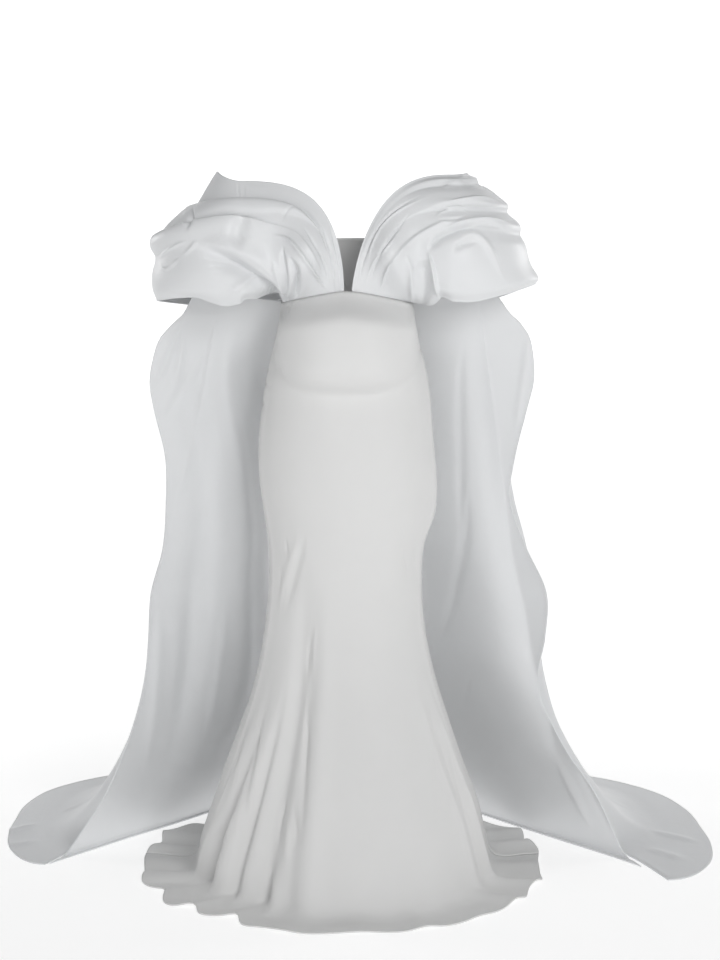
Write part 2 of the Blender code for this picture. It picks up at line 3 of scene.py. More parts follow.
import bpy
import numpy as np
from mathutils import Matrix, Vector


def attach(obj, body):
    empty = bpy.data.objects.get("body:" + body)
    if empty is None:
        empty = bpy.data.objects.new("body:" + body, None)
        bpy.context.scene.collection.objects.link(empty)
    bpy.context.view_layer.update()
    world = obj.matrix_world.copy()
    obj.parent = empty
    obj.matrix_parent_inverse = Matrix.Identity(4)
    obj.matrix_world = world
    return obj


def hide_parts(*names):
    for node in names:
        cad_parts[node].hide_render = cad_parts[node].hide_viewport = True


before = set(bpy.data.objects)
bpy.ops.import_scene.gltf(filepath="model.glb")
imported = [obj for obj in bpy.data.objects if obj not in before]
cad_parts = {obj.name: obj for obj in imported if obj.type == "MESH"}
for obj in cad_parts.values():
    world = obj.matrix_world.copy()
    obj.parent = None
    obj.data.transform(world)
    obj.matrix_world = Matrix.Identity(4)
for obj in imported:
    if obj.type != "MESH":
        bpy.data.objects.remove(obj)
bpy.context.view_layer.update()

BUST_HEIGHT = 1.300
CREPE_WALL = 0.0014
ORGANZA_WALL = 0.0010
SEAM_GAP = 0.0003
HEM_ROLL = 0.0018
HEM_WIDTH = 0.0026
NO_LENGTH = 1e-12

RING_POWER = 2.2
SEAM_CENTRE = 1.270
SEAM_DROP = 0.029
SEAM_HALF = 0.138
SEAM_FRONT = 0.137
SEAM_ARCH = 1.4
SEAM_ROWS = 2.0

# The belly room is a rounded block: half width, depth and half height.
BELLY_CENTRE_Y = -0.060
BELLY_HEIGHT = 1.164
BELLY_RADII = (0.150, 0.168, 0.119)
BELLY_BLEND = 0.006
BELLY_POWER = 2.6
BELLY_TALL_POWER = 3.0
BELLY_SIDE = 0.070
BELLY_SEAM = 0.055

ARM_X = 0.215
CUP_X = 0.086
CUP_HEIGHT = 1.338
CUP_DEPTH = 0.046
CUP_WIDTH = 0.046
CUP_TALL = 0.058
CUP_START = 3.0
RUN_BEND = 2.5
FRONT_PART = 0.46
ARC_PART = 0.84

SKIRT_COLUMNS = "height left right front back centre"
SKIRT = [
    (1.241, 0.138, 0.138, 0.137, 0.095, 0.000),
    (1.200, 0.143, 0.144, 0.168, 0.096, 0.000),
    (1.150, 0.154, 0.154, 0.182, 0.102, 0.000),
    (1.100, 0.166, 0.167, 0.170, 0.116, 0.000),
    (1.040, 0.176, 0.176, 0.158, 0.136, 0.000),
    (0.950, 0.186, 0.183, 0.156, 0.158, 0.000),
    (0.870, 0.185, 0.190, 0.150, 0.165, 0.000),
    (0.800, 0.176, 0.187, 0.143, 0.156, 0.000),
    (0.730, 0.167, 0.164, 0.136, 0.142, 0.000),
    (0.650, 0.166, 0.159, 0.132, 0.134, 0.000),
    (0.560, 0.174, 0.165, 0.136, 0.142, 0.000),
    (0.460, 0.191, 0.184, 0.156, 0.172, 0.005),
    (0.360, 0.219, 0.214, 0.188, 0.220, 0.015),
    (0.260, 0.255, 0.248, 0.226, 0.280, 0.030),
    (0.160, 0.291, 0.286, 0.264, 0.345, 0.050),
    (0.080, 0.318, 0.306, 0.294, 0.400, 0.075),
    (0.026, 0.332, 0.322, 0.316, 0.440, 0.100),
    (0.007, 0.362, 0.352, 0.338, 0.455, 0.125),
    (0.004, 0.412, 0.396, 0.372, 0.465, 0.150),
    (0.003, 0.450, 0.432, 0.396, 0.475, 0.160),
]

FOLD_COLUMNS = "hem_angle top_angle top width depth"
SKIRT_FOLDS = [
    (-160, -151, 0.44, 4.5, 0.014),
    (-151, -143, 0.48, 3.2, -0.014),
    (-143, -136, 0.44, 4.2, 0.014),
    (-135, -130, 0.48, 2.6, -0.020),
    (-121, -120, 0.11, 2.0, -0.012),
    (-116, -116, 0.12, 2.6, 0.014),
    (-121, -119, 0.74, 7.4, -0.029),
    (-109, -111, 0.66, 3.2, -0.008),
    (-102, -103, 0.72, 5.0, 0.010),
    (-33, -42, 0.52, 3.0, 0.007),
    (-26, -34, 0.50, 3.0, -0.005),
    (-19, -26, 0.50, 3.2, 0.008),
    (-6, -10, 0.42, 7.0, -0.010),
    (14, 12, 0.45, 7.0, -0.018),
    (32, 28, 0.40, 8.0, 0.022),
    (52, 50, 0.50, 7.5, -0.022),
    (72, 70, 0.42, 8.5, 0.024),
    (92, 90, 0.52, 8.0, -0.022),
    (112, 110, 0.40, 8.5, 0.024),
    (131, 129, 0.46, 7.5, -0.020),
    (150, 148, 0.38, 8.0, 0.022),
    (167, 166, 0.44, 6.5, -0.016),
]
FOLD_START = 1.3

POOL_COLUMNS = "angle width lift"
POOL_RIPPLES = [
    (-174, 4.0, 0.009), (-163, 3.2, 0.012), (-150, 4.5, 0.007), (-136, 3.0, 0.010),
    (-121, 4.0, 0.007), (-104, 4.2, 0.006), (-87, 5.5, 0.005), (-70, 4.0, 0.007),
    (-53, 4.6, 0.005), (-37, 3.6, 0.009), (-22, 4.4, 0.011), (-8, 4.0, 0.008),
    (11, 5.0, 0.013), (29, 4.4, 0.007), (47, 5.6, 0.014), (66, 4.6, 0.009),
    (85, 6.0, 0.015), (103, 4.8, 0.009), (122, 5.4, 0.013), (141, 4.6, 0.009),
    (157, 5.2, 0.011), (173, 4.2, 0.007),
]
POOL_TOP = 0.030

CREASE_COLUMNS = "x0 h0 x1 h1 x2 h2 x3 h3 right left depth"
CREASES_SKIRT = [
    (-0.084, 0.768, -0.099, 0.718, -0.116, 0.653, -0.131, 0.585, 0.0060, 0.0080, -0.0040),
    (-0.097, 0.772, -0.114, 0.718, -0.132, 0.652, -0.143, 0.589, 0.0060, 0.0050, 0.0030),
    (-0.124, 0.758, -0.126, 0.741, -0.125, 0.728, -0.118, 0.719, 0.0025, 0.0025, -0.0030),
    (-0.136, 0.706, -0.138, 0.680, -0.140, 0.652, -0.141, 0.627, 0.0050, 0.0030, -0.0020),
    (-0.074, 0.568, -0.081, 0.529, -0.085, 0.496, -0.086, 0.444, 0.0040, 0.0070, -0.0040),
    (-0.064, 0.583, -0.068, 0.546, -0.070, 0.505, -0.070, 0.445, 0.0040, 0.0040, 0.0020),
    (-0.083, 0.444, -0.087, 0.336, -0.090, 0.231, -0.099, 0.105, 0.0070, 0.0090, -0.0080),
    (-0.210, 0.365, -0.228, 0.295, -0.252, 0.208, -0.312, 0.070, 0.0030, 0.0060, -0.0060),
    (-0.184, 0.391, -0.194, 0.297, -0.210, 0.208, -0.222, 0.088, 0.0040, 0.0070, -0.0090),
    (-0.131, 0.214, -0.142, 0.199, -0.150, 0.164, -0.155, 0.100, 0.0040, 0.0030, -0.0060),
    (-0.118, 0.215, -0.110, 0.195, -0.105, 0.160, -0.107, 0.105, 0.0030, 0.0040, -0.0060),
    (-0.124, 0.201, -0.126, 0.171, -0.128, 0.137, -0.130, 0.103, 0.0070, 0.0070, 0.0050),
    (-0.215, 0.194, -0.231, 0.162, -0.251, 0.124, -0.314, 0.059, 0.0120, 0.0020, 0.0040),
    (-0.202, 0.404, -0.232, 0.323, -0.262, 0.237, -0.292, 0.158, 0.0040, 0.0030, 0.0030),
    (0.174, 0.430, 0.180, 0.348, 0.185, 0.247, 0.188, 0.106, 0.0020, 0.0050, -0.0020),
    (0.201, 0.341, 0.222, 0.270, 0.250, 0.181, 0.297, 0.089, 0.0020, 0.0040, -0.0030),
    (0.190, 0.410, 0.216, 0.305, 0.252, 0.208, 0.287, 0.136, 0.0040, 0.0040, 0.0040),
    (-0.014, 0.270, 0.048, 0.265, 0.110, 0.258, 0.173, 0.248, 0.0025, 0.0025, -0.0010),
    (-0.014, 0.256, 0.038, 0.254, 0.100, 0.249, 0.152, 0.247, 0.0025, 0.0025, 0.0010),
    (0.015, 0.210, 0.032, 0.206, 0.048, 0.202, 0.060, 0.200, 0.0025, 0.0025, -0.0012),
    (0.028, 0.344, 0.040, 0.338, 0.050, 0.332, 0.061, 0.326, 0.0025, 0.0025, -0.0012),
    (0.128, 0.978, 0.137, 0.958, 0.148, 0.936, 0.165, 0.905, 0.0030, 0.0030, -0.0012),
    (0.115, 0.736, 0.119, 0.718, 0.124, 0.698, 0.133, 0.656, 0.0040, 0.0060, -0.0020),
    (0.136, 0.732, 0.141, 0.716, 0.145, 0.700, 0.147, 0.682, 0.0030, 0.0030, -0.0015),
    (-0.139, 1.204, -0.144, 1.158, -0.138, 1.117, -0.120, 1.080, 0.0050, 0.0040, -0.0040),
    (-0.135, 1.241, -0.126, 1.236, -0.117, 1.231, -0.106, 1.226, 0.0025, 0.0015, -0.0040),
    (-0.132, 1.243, -0.117, 1.242, -0.102, 1.240, -0.087, 1.235, 0.0020, 0.0015, -0.0030),
    (-0.137, 1.236, -0.136, 1.224, -0.134, 1.215, -0.132, 1.205, 0.0020, 0.0020, -0.0030),
    (-0.129, 1.236, -0.128, 1.226, -0.126, 1.216, -0.124, 1.204, 0.0020, 0.0020, -0.0025),
    (0.133, 1.237, 0.137, 1.228, 0.137, 1.216, 0.135, 1.203, 0.0020, 0.0020, 0.0030),
    (0.127, 1.234, 0.130, 1.223, 0.130, 1.211, 0.129, 1.200, 0.0020, 0.0020, -0.0030),
    (-0.177, 1.101, -0.165, 1.100, -0.152, 1.102, -0.143, 1.100, 0.0030, 0.0030, -0.0030),
    (-0.186, 1.072, -0.173, 1.070, -0.162, 1.070, -0.152, 1.068, 0.0030, 0.0030, -0.0025),
    (-0.190, 1.027, -0.180, 1.026, -0.168, 1.026, -0.159, 1.024, 0.0030, 0.0030, -0.0025),
    (0.182, 1.103, 0.167, 1.102, 0.158, 1.101, 0.149, 1.099, 0.0030, 0.0030, -0.0030),
    (0.186, 1.143, 0.161, 1.143, 0.152, 1.142, 0.143, 1.142, 0.0030, 0.0030, -0.0025),
]
CREASES_BACK = [
    (0.120, 0.792, 0.070, 0.776, 0.010, 0.768, -0.060, 0.776, 0.0120, 0.0070, -0.0035),
    (-0.130, 0.752, -0.080, 0.736, -0.020, 0.728, 0.050, 0.740, 0.0110, 0.0070, -0.0030),
    (0.090, 0.730, 0.096, 0.690, 0.104, 0.640, 0.118, 0.590, 0.0060, 0.0080, -0.0040),
    (-0.096, 0.720, -0.104, 0.680, -0.112, 0.630, -0.130, 0.580, 0.0080, 0.0060, -0.0040),
    (0.020, 0.560, 0.028, 0.480, 0.036, 0.400, 0.050, 0.300, 0.0060, 0.0090, -0.0060),
    (-0.048, 0.540, -0.058, 0.450, -0.070, 0.360, -0.088, 0.250, 0.0090, 0.0060, -0.0060),
    (-0.128, 0.440, -0.146, 0.350, -0.168, 0.250, -0.196, 0.150, 0.0070, 0.0050, 0.0050),
    (0.130, 0.430, 0.148, 0.340, 0.172, 0.250, 0.206, 0.140, 0.0050, 0.0070, -0.0060),
    (0.170, 1.102, 0.158, 1.100, 0.146, 1.100, 0.132, 1.098, 0.0030, 0.0030, -0.0025),
    (-0.172, 1.060, -0.158, 1.058, -0.146, 1.058, -0.130, 1.056, 0.0030, 0.0030, -0.0025),
]

SLEEVE_COLUMNS = "seam reach reach_height front front_height back back_height end_height bend"
SLEEVE_LEFT = [
    (0.005, 0.270, 1.513, 0.075, 1.492, 0.085, 1.480, 1.400, 1.80),
    (0.012, 0.327, 1.437, 0.115, 1.455, 0.110, 1.430, 1.380, 1.65),
    (0.020, 0.396, 1.376, 0.145, 1.422, 0.125, 1.382, 1.355, 1.45),
    (0.032, 0.394, 1.335, 0.160, 1.366, 0.134, 1.338, 1.325, 1.20),
    (0.062, 0.405, 1.300, 0.168, 1.305, 0.138, 1.290, 1.295, 1.05),
    (0.098, 0.407, 1.270, 0.160, 1.268, 0.130, 1.250, 1.268, 1.00),
    (0.130, 0.398, 1.247, 0.135, 1.250, 0.112, 1.229, 1.250, 1.00),
]
SLEEVE_RIGHT = [
    (0.011, 0.250, 1.509, 0.075, 1.505, 0.085, 1.480, 1.400, 1.35),
    (0.022, 0.290, 1.476, 0.110, 1.474, 0.108, 1.440, 1.380, 1.32),
    (0.036, 0.332, 1.436, 0.138, 1.441, 0.122, 1.398, 1.358, 1.27),
    (0.054, 0.366, 1.378, 0.158, 1.392, 0.133, 1.348, 1.328, 1.18),
    (0.075, 0.378, 1.328, 0.168, 1.325, 0.138, 1.298, 1.298, 1.05),
    (0.102, 0.398, 1.294, 0.160, 1.275, 0.130, 1.254, 1.270, 1.00),
    (0.130, 0.392, 1.282, 0.135, 1.250, 0.112, 1.229, 1.250, 1.00),
]

# Tucks: level down the drape's table, push outwards, and where each begins and is full.
TUCK_COLUMNS = "level push from full"
TUCKS_LEFT = [
    (0.00, 0.000, 0.16, 0.30), (0.45, -0.002, 0.16, 0.30), (0.85, -0.006, 0.16, 0.30),
    (1.18, -0.008, 0.16, 0.30), (1.30, -0.005, 0.16, 0.30), (1.16, -0.001, 0.16, 0.30),
    (0.99, 0.003, 0.16, 0.30), (1.02, 0.006, 0.16, 0.30), (1.25, 0.007, 0.16, 0.30),
    (1.60, 0.004, 0.26, 0.40), (1.90, -0.003, 0.32, 0.48), (2.14, -0.007, 0.34, 0.50),
    (2.26, -0.004, 0.34, 0.50), (2.14, 0.001, 0.34, 0.50), (1.98, 0.006, 0.34, 0.50),
    (2.03, 0.010, 0.34, 0.50), (2.30, 0.012, 0.34, 0.50), (2.75, 0.009, 0.30, 0.46),
    (3.30, 0.005, 0.20, 0.40), (4.20, 0.002, 0.10, 0.30), (5.20, 0.000, 0.10, 0.30),
    (6.00, 0.000, 0.10, 0.30),
]
TUCKS_RIGHT = [
    (0.00, 0.000, 0.24, 0.42), (0.20, 0.003, 0.24, 0.42), (0.42, 0.005, 0.24, 0.42),
    (0.58, 0.001, 0.24, 0.42), (0.70, -0.002, 0.24, 0.42), (0.90, 0.002, 0.24, 0.42),
    (1.20, 0.005, 0.24, 0.42), (1.60, 0.006, 0.26, 0.42), (1.90, 0.008, 0.28, 0.44),
    (2.04, 0.005, 0.28, 0.44), (2.07, 0.001, 0.28, 0.44), (2.15, -0.003, 0.28, 0.44),
    (2.30, -0.001, 0.30, 0.44), (2.50, 0.004, 0.32, 0.46), (2.68, 0.006, 0.34, 0.46),
    (2.80, 0.003, 0.34, 0.46), (2.92, -0.002, 0.34, 0.46), (3.10, -0.001, 0.30, 0.46),
    (3.40, 0.003, 0.26, 0.44), (3.90, 0.004, 0.26, 0.44), (4.60, 0.002, 0.26, 0.44),
    (5.30, 0.003, 0.26, 0.44), (6.00, 0.004, 0.26, 0.44),
]
TUCK_AT_SEAM = 0.10
TUCK_END_LOSS = 0.75
LEVEL_SIZE = 0.050
SPLINE_STEPS = 24
NORMAL_STEP = 0.004
QUIET_RUN = 6.0
QUIET_LEVELS = 0.4
DRAPE_BACK_WALL = 0.0014

HEM_COLUMNS = "around lift"
HEM_LEFT = [
    (0.00, 0.000), (0.14, 0.004), (0.28, 0.001), (0.45, -0.002), (0.484, -0.010),
    (0.50, -0.004), (0.52, 0.006), (0.55, 0.006), (0.60, 0.000), (1.00, 0.000),
]
HEM_RIGHT = [
    (0.00, 0.000), (0.30, -0.002), (0.34, 0.007), (0.45, 0.004), (0.49, -0.001),
    (0.52, 0.002), (0.56, 0.003), (0.64, 0.000), (0.80, 0.000), (1.00, 0.000),
]
HEM_LEVELS = 1.2

CREASES_LEFT = [
    (-0.305, 1.362, -0.232, 1.336, -0.158, 1.282, -0.086, 1.180, 0.0280, 0.0060, -0.0230),
    (-0.296, 1.372, -0.240, 1.356, -0.181, 1.329, -0.137, 1.279, 0.0060, 0.0220, 0.0060),
    (-0.156, 1.382, -0.108, 1.368, -0.070, 1.316, -0.012, 1.240, 0.0045, 0.0025, 0.0060),
    (-0.128, 1.368, -0.126, 1.330, -0.122, 1.291, -0.127, 1.229, 0.0050, 0.0040, -0.0070),
    (-0.150, 1.338, -0.142, 1.310, -0.135, 1.279, -0.127, 1.229, 0.0070, 0.0060, 0.0050),
    (-0.118, 1.348, -0.104, 1.316, -0.100, 1.282, -0.116, 1.225, 0.0070, 0.0070, -0.0110),
    (-0.096, 1.444, -0.068, 1.416, -0.047, 1.380, -0.033, 1.321, 0.0025, 0.0035, -0.0028),
    (-0.094, 1.410, -0.065, 1.368, -0.045, 1.324, -0.029, 1.257, 0.0030, 0.0030, -0.0022),
    (-0.057, 1.418, -0.039, 1.374, -0.029, 1.325, -0.019, 1.252, 0.0025, 0.0025, -0.0024),
    (-0.108, 1.396, -0.080, 1.362, -0.061, 1.328, -0.043, 1.273, 0.0040, 0.0030, 0.0022),
    (-0.037, 1.410, -0.023, 1.361, -0.015, 1.315, -0.011, 1.252, 0.0020, 0.0030, -0.0020),
    (-0.196, 1.430, -0.213, 1.408, -0.221, 1.382, -0.212, 1.346, 0.0130, 0.0180, -0.0070),
    (-0.312, 1.444, -0.314, 1.425, -0.316, 1.407, -0.322, 1.385, 0.0070, 0.0050, -0.0060),
    (-0.224, 1.496, -0.222, 1.482, -0.220, 1.466, -0.223, 1.452, 0.0016, 0.0016, -0.0014),
    (-0.210, 1.494, -0.210, 1.480, -0.210, 1.466, -0.212, 1.452, 0.0016, 0.0016, -0.0014),
    (-0.128, 1.406, -0.126, 1.422, -0.116, 1.434, -0.098, 1.438, 0.0018, 0.0018, -0.0016),
    (-0.246, 1.263, -0.220, 1.277, -0.195, 1.291, -0.163, 1.297, 0.0070, 0.0100, 0.0040),
    (-0.380, 1.328, -0.368, 1.345, -0.343, 1.361, -0.315, 1.371, 0.0030, 0.0030, 0.0026),
    (-0.311, 1.371, -0.305, 1.365, -0.315, 1.353, -0.336, 1.336, 0.0030, 0.0030, 0.0026),
    (-0.336, 1.336, -0.350, 1.324, -0.368, 1.312, -0.380, 1.328, 0.0030, 0.0030, 0.0026),
]
CREASES_RIGHT = [
    (0.021, 1.257, 0.040, 1.350, 0.084, 1.422, 0.181, 1.470, 0.0030, 0.0020, -0.0030),
    (0.038, 1.309, 0.058, 1.378, 0.100, 1.428, 0.185, 1.464, 0.0025, 0.0025, 0.0020),
    (0.048, 1.269, 0.066, 1.342, 0.098, 1.390, 0.136, 1.440, 0.0030, 0.0020, -0.0030),
    (0.036, 1.273, 0.054, 1.326, 0.080, 1.358, 0.116, 1.406, 0.0030, 0.0030, 0.0020),
    (0.076, 1.294, 0.114, 1.358, 0.164, 1.394, 0.213, 1.418, 0.0100, 0.0040, 0.0050),
    (0.064, 1.261, 0.074, 1.291, 0.082, 1.314, 0.094, 1.336, 0.0030, 0.0030, 0.0030),
    (0.118, 1.354, 0.129, 1.314, 0.133, 1.277, 0.135, 1.229, 0.0060, 0.0060, 0.0045),
    (0.151, 1.342, 0.155, 1.310, 0.157, 1.275, 0.157, 1.229, 0.0100, 0.0120, -0.0080),
    (0.163, 1.360, 0.175, 1.322, 0.183, 1.285, 0.194, 1.237, 0.0070, 0.0028, 0.0070),
    (0.163, 1.342, 0.181, 1.374, 0.209, 1.390, 0.254, 1.404, 0.0100, 0.0060, -0.0080),
    (0.189, 1.394, 0.236, 1.410, 0.286, 1.416, 0.345, 1.398, 0.0040, 0.0030, 0.0045),
    (0.208, 1.388, 0.248, 1.402, 0.290, 1.404, 0.329, 1.388, 0.0070, 0.0035, -0.0060),
    (0.210, 1.362, 0.260, 1.386, 0.291, 1.350, 0.332, 1.273, 0.0070, 0.0070, 0.0045),
    (0.214, 1.343, 0.228, 1.362, 0.244, 1.368, 0.266, 1.368, 0.0060, 0.0060, -0.0035),
    (0.179, 1.418, 0.201, 1.434, 0.226, 1.438, 0.250, 1.428, 0.0030, 0.0040, 0.0030),
    (0.183, 1.414, 0.203, 1.414, 0.226, 1.416, 0.248, 1.428, 0.0030, 0.0030, -0.0024),
    (0.202, 1.450, 0.238, 1.452, 0.279, 1.454, 0.324, 1.432, 0.0040, 0.0030, 0.0040),
    (0.166, 1.434, 0.206, 1.442, 0.259, 1.444, 0.312, 1.434, 0.0070, 0.0030, -0.0050),
    (0.190, 1.478, 0.210, 1.484, 0.231, 1.486, 0.251, 1.480, 0.0050, 0.0050, 0.0030),
]
CREASE_GAIN = 1.3
CREASE_FADE = 0.34
CREASE_TIP = 0.45
CREASE_STEPS = 60
CREASE_NEAR = 3.0
CREASE_END = 0.58
CREASE_END_FADE = 0.07

# Wings: edge, fold, side and tip are points in plan; flap and bow swell between them.
CAPE_COLUMNS = "height edge_x edge_y fold_x fold_y side_x side_y tip_x tip_y flap bow"
CAPE_LEFT = [
    (1.236, 0.318, 0.044, 0.105, 0.066, 0.262, 0.108, 0.268, 0.104, 0.016, 0.000),
    (1.206, 0.354, 0.068, 0.106, 0.098, 0.304, 0.112, 0.302, 0.106, 0.018, 0.010),
    (1.180, 0.382, 0.082, 0.108, 0.118, 0.346, 0.134, 0.342, 0.124, 0.020, 0.018),
    (1.145, 0.408, 0.096, 0.112, 0.142, 0.380, 0.172, 0.374, 0.158, 0.024, 0.028),
    (1.070, 0.426, 0.112, 0.118, 0.195, 0.404, 0.228, 0.396, 0.206, 0.028, 0.040),
    (1.000, 0.418, 0.120, 0.122, 0.228, 0.400, 0.256, 0.392, 0.228, 0.034, 0.042),
    (0.900, 0.395, 0.120, 0.124, 0.272, 0.384, 0.282, 0.376, 0.248, 0.042, 0.040),
    (0.805, 0.394, 0.120, 0.124, 0.318, 0.384, 0.300, 0.376, 0.262, 0.048, 0.034),
    (0.700, 0.402, 0.120, 0.122, 0.372, 0.394, 0.316, 0.386, 0.274, 0.052, 0.026),
    (0.600, 0.429, 0.122, 0.120, 0.428, 0.414, 0.330, 0.406, 0.284, 0.055, 0.018),
    (0.500, 0.436, 0.124, 0.120, 0.490, 0.424, 0.342, 0.414, 0.292, 0.056, 0.010),
    (0.420, 0.444, 0.126, 0.120, 0.544, 0.434, 0.352, 0.424, 0.296, 0.054, 0.004),
    (0.340, 0.461, 0.128, 0.120, 0.602, 0.450, 0.362, 0.440, 0.296, 0.052, 0.000),
    (0.250, 0.491, 0.132, 0.120, 0.674, 0.478, 0.372, 0.466, 0.292, 0.050, 0.000),
    (0.145, 0.536, 0.138, 0.120, 0.768, 0.528, 0.386, 0.512, 0.282, 0.046, 0.000),
    (0.070, 0.583, 0.146, 0.118, 0.838, 0.582, 0.398, 0.556, 0.266, 0.042, 0.000),
    (0.022, 0.616, 0.142, 0.112, 0.884, 0.638, 0.406, 0.590, 0.246, 0.040, 0.000),
    (0.006, 0.632, 0.124, 0.100, 0.912, 0.688, 0.410, 0.606, 0.205, 0.038, 0.000),
    (0.004, 0.646, 0.100, 0.084, 0.936, 0.738, 0.412, 0.630, 0.150, 0.038, 0.000),
    (0.003, 0.656, 0.080, 0.066, 0.956, 0.787, 0.414, 0.664, 0.076, 0.038, 0.000),
]
CAPE_RIGHT = [
    (1.236, 0.308, 0.044, 0.105, 0.066, 0.262, 0.108, 0.266, 0.104, 0.016, 0.000),
    (1.206, 0.354, 0.068, 0.106, 0.098, 0.300, 0.112, 0.296, 0.106, 0.018, 0.010),
    (1.180, 0.379, 0.082, 0.108, 0.118, 0.334, 0.134, 0.322, 0.124, 0.020, 0.018),
    (1.145, 0.396, 0.096, 0.112, 0.142, 0.360, 0.172, 0.342, 0.158, 0.024, 0.028),
    (1.070, 0.403, 0.112, 0.118, 0.195, 0.374, 0.228, 0.350, 0.206, 0.028, 0.040),
    (1.000, 0.388, 0.120, 0.122, 0.228, 0.364, 0.256, 0.336, 0.228, 0.034, 0.042),
    (0.900, 0.364, 0.120, 0.124, 0.272, 0.354, 0.282, 0.318, 0.248, 0.042, 0.040),
    (0.805, 0.354, 0.120, 0.124, 0.318, 0.362, 0.300, 0.314, 0.262, 0.048, 0.034),
    (0.700, 0.390, 0.120, 0.122, 0.372, 0.386, 0.316, 0.338, 0.274, 0.052, 0.026),
    (0.600, 0.435, 0.122, 0.120, 0.428, 0.404, 0.330, 0.364, 0.284, 0.055, 0.018),
    (0.500, 0.433, 0.124, 0.120, 0.490, 0.418, 0.342, 0.374, 0.292, 0.058, 0.010),
    (0.420, 0.420, 0.126, 0.120, 0.544, 0.428, 0.352, 0.370, 0.296, 0.060, 0.004),
    (0.340, 0.437, 0.128, 0.120, 0.602, 0.442, 0.362, 0.388, 0.296, 0.062, 0.000),
    (0.250, 0.480, 0.132, 0.120, 0.674, 0.470, 0.372, 0.424, 0.292, 0.062, 0.000),
    (0.145, 0.548, 0.138, 0.120, 0.768, 0.528, 0.386, 0.490, 0.278, 0.060, 0.000),
    (0.070, 0.585, 0.140, 0.118, 0.838, 0.590, 0.388, 0.546, 0.260, 0.058, 0.000),
    (0.022, 0.608, 0.132, 0.112, 0.884, 0.648, 0.376, 0.585, 0.240, 0.056, 0.000),
    (0.006, 0.622, 0.112, 0.100, 0.912, 0.706, 0.352, 0.602, 0.190, 0.054, 0.000),
    (0.004, 0.634, 0.088, 0.084, 0.936, 0.766, 0.320, 0.648, 0.085, 0.052, 0.000),
    (0.003, 0.644, 0.060, 0.066, 0.956, 0.825, 0.290, 0.690, -0.038, 0.050, 0.000),
]
SIDE_POWER = 2.6
TRAIN_FINE = 60

# Valleys: place round the wing, top and foot height, width there and depth.
VALLEY_COLUMNS = "along top foot width depth"
VALLEYS_LEFT = [
    (0.10, 1.20, 0.10, 0.035, 0.010),
    (0.20, 1.22, 0.30, 0.030, -0.016),
    (0.31, 1.24, 0.05, 0.035, 0.012),
    (0.50, 1.20, 0.12, 0.030, -0.018),
    (0.61, 1.15, 0.12, 0.032, 0.022),
    (0.72, 1.20, 0.12, 0.030, -0.022),
    (0.83, 1.10, 0.12, 0.032, 0.022),
    (0.92, 0.90, 0.12, 0.026, -0.016),
]
VALLEYS_RIGHT = [
    (0.34, 1.20, 0.05, 0.035, 0.010),
    (0.49, 1.20, 0.12, 0.030, -0.018),
    (0.60, 1.20, 0.12, 0.032, 0.022),
    (0.71, 1.10, 0.12, 0.030, -0.022),
    (0.82, 1.15, 0.12, 0.032, 0.022),
    (0.92, 0.95, 0.12, 0.026, -0.018),
]

DENT_COLUMNS = "height x depth"
DENT_RIGHT = [
    (1.234, 0.280, 0.006), (1.153, 0.294, 0.030), (1.068, 0.307, 0.042), (0.960, 0.323, 0.045),
    (0.874, 0.334, 0.045), (0.809, 0.344, 0.045), (0.700, 0.357, 0.045), (0.612, 0.376, 0.044),
    (0.561, 0.388, 0.042), (0.433, 0.412, 0.038), (0.342, 0.441, 0.028), (0.242, 0.461, 0.014),
    (0.169, 0.490, 0.000), (0.000, 0.540, 0.000),
]
DENT_EDGE = 0.026
DENT_REACH = 0.150
DENT_POWER = 2.0

CREASES_WING_LEFT = [
    (-0.279, 1.203, -0.296, 1.132, -0.339, 0.933, -0.399, 0.719, 0.0030, 0.0070, -0.0030),
    (-0.296, 1.161, -0.335, 1.079, -0.375, 1.019, -0.397, 0.959, 0.0080, 0.0080, 0.0050),
    (-0.347, 1.173, -0.356, 1.129, -0.363, 1.090, -0.381, 1.038, 0.0090, 0.0090, -0.0060),
    (-0.351, 1.204, -0.371, 1.152, -0.400, 1.086, -0.416, 1.032, 0.0070, 0.0070, 0.0050),
    (-0.341, 0.668, -0.347, 0.490, -0.364, 0.355, -0.394, 0.196, 0.0180, 0.0180, 0.0060),
    (-0.412, 0.579, -0.420, 0.445, -0.433, 0.310, -0.462, 0.150, 0.0120, 0.0160, -0.0060),
    (-0.276, 0.579, -0.286, 0.445, -0.309, 0.310, -0.337, 0.173, 0.0080, 0.0120, -0.0050),
]
CREASES_WING_RIGHT = [
    (0.272, 0.830, 0.268, 0.690, 0.232, 0.520, 0.168, 0.390, 0.0120, 0.0120, 0.0060),
    (0.288, 0.400, 0.280, 0.366, 0.271, 0.337, 0.262, 0.305, 0.0050, 0.0050, 0.0025),
    (0.462, 0.239, 0.494, 0.155, 0.526, 0.093, 0.549, 0.036, 0.0070, 0.0120, -0.0060),
    (0.486, 0.253, 0.532, 0.162, 0.566, 0.093, 0.601, 0.025, 0.0080, 0.0080, 0.0040),
    (0.391, 1.173, 0.383, 1.108, 0.373, 1.021, 0.359, 0.933, 0.0080, 0.0080, -0.0040),
    (0.251, 1.173, 0.251, 1.021, 0.257, 0.845, 0.260, 0.668, 0.0100, 0.0100, 0.0040),
]
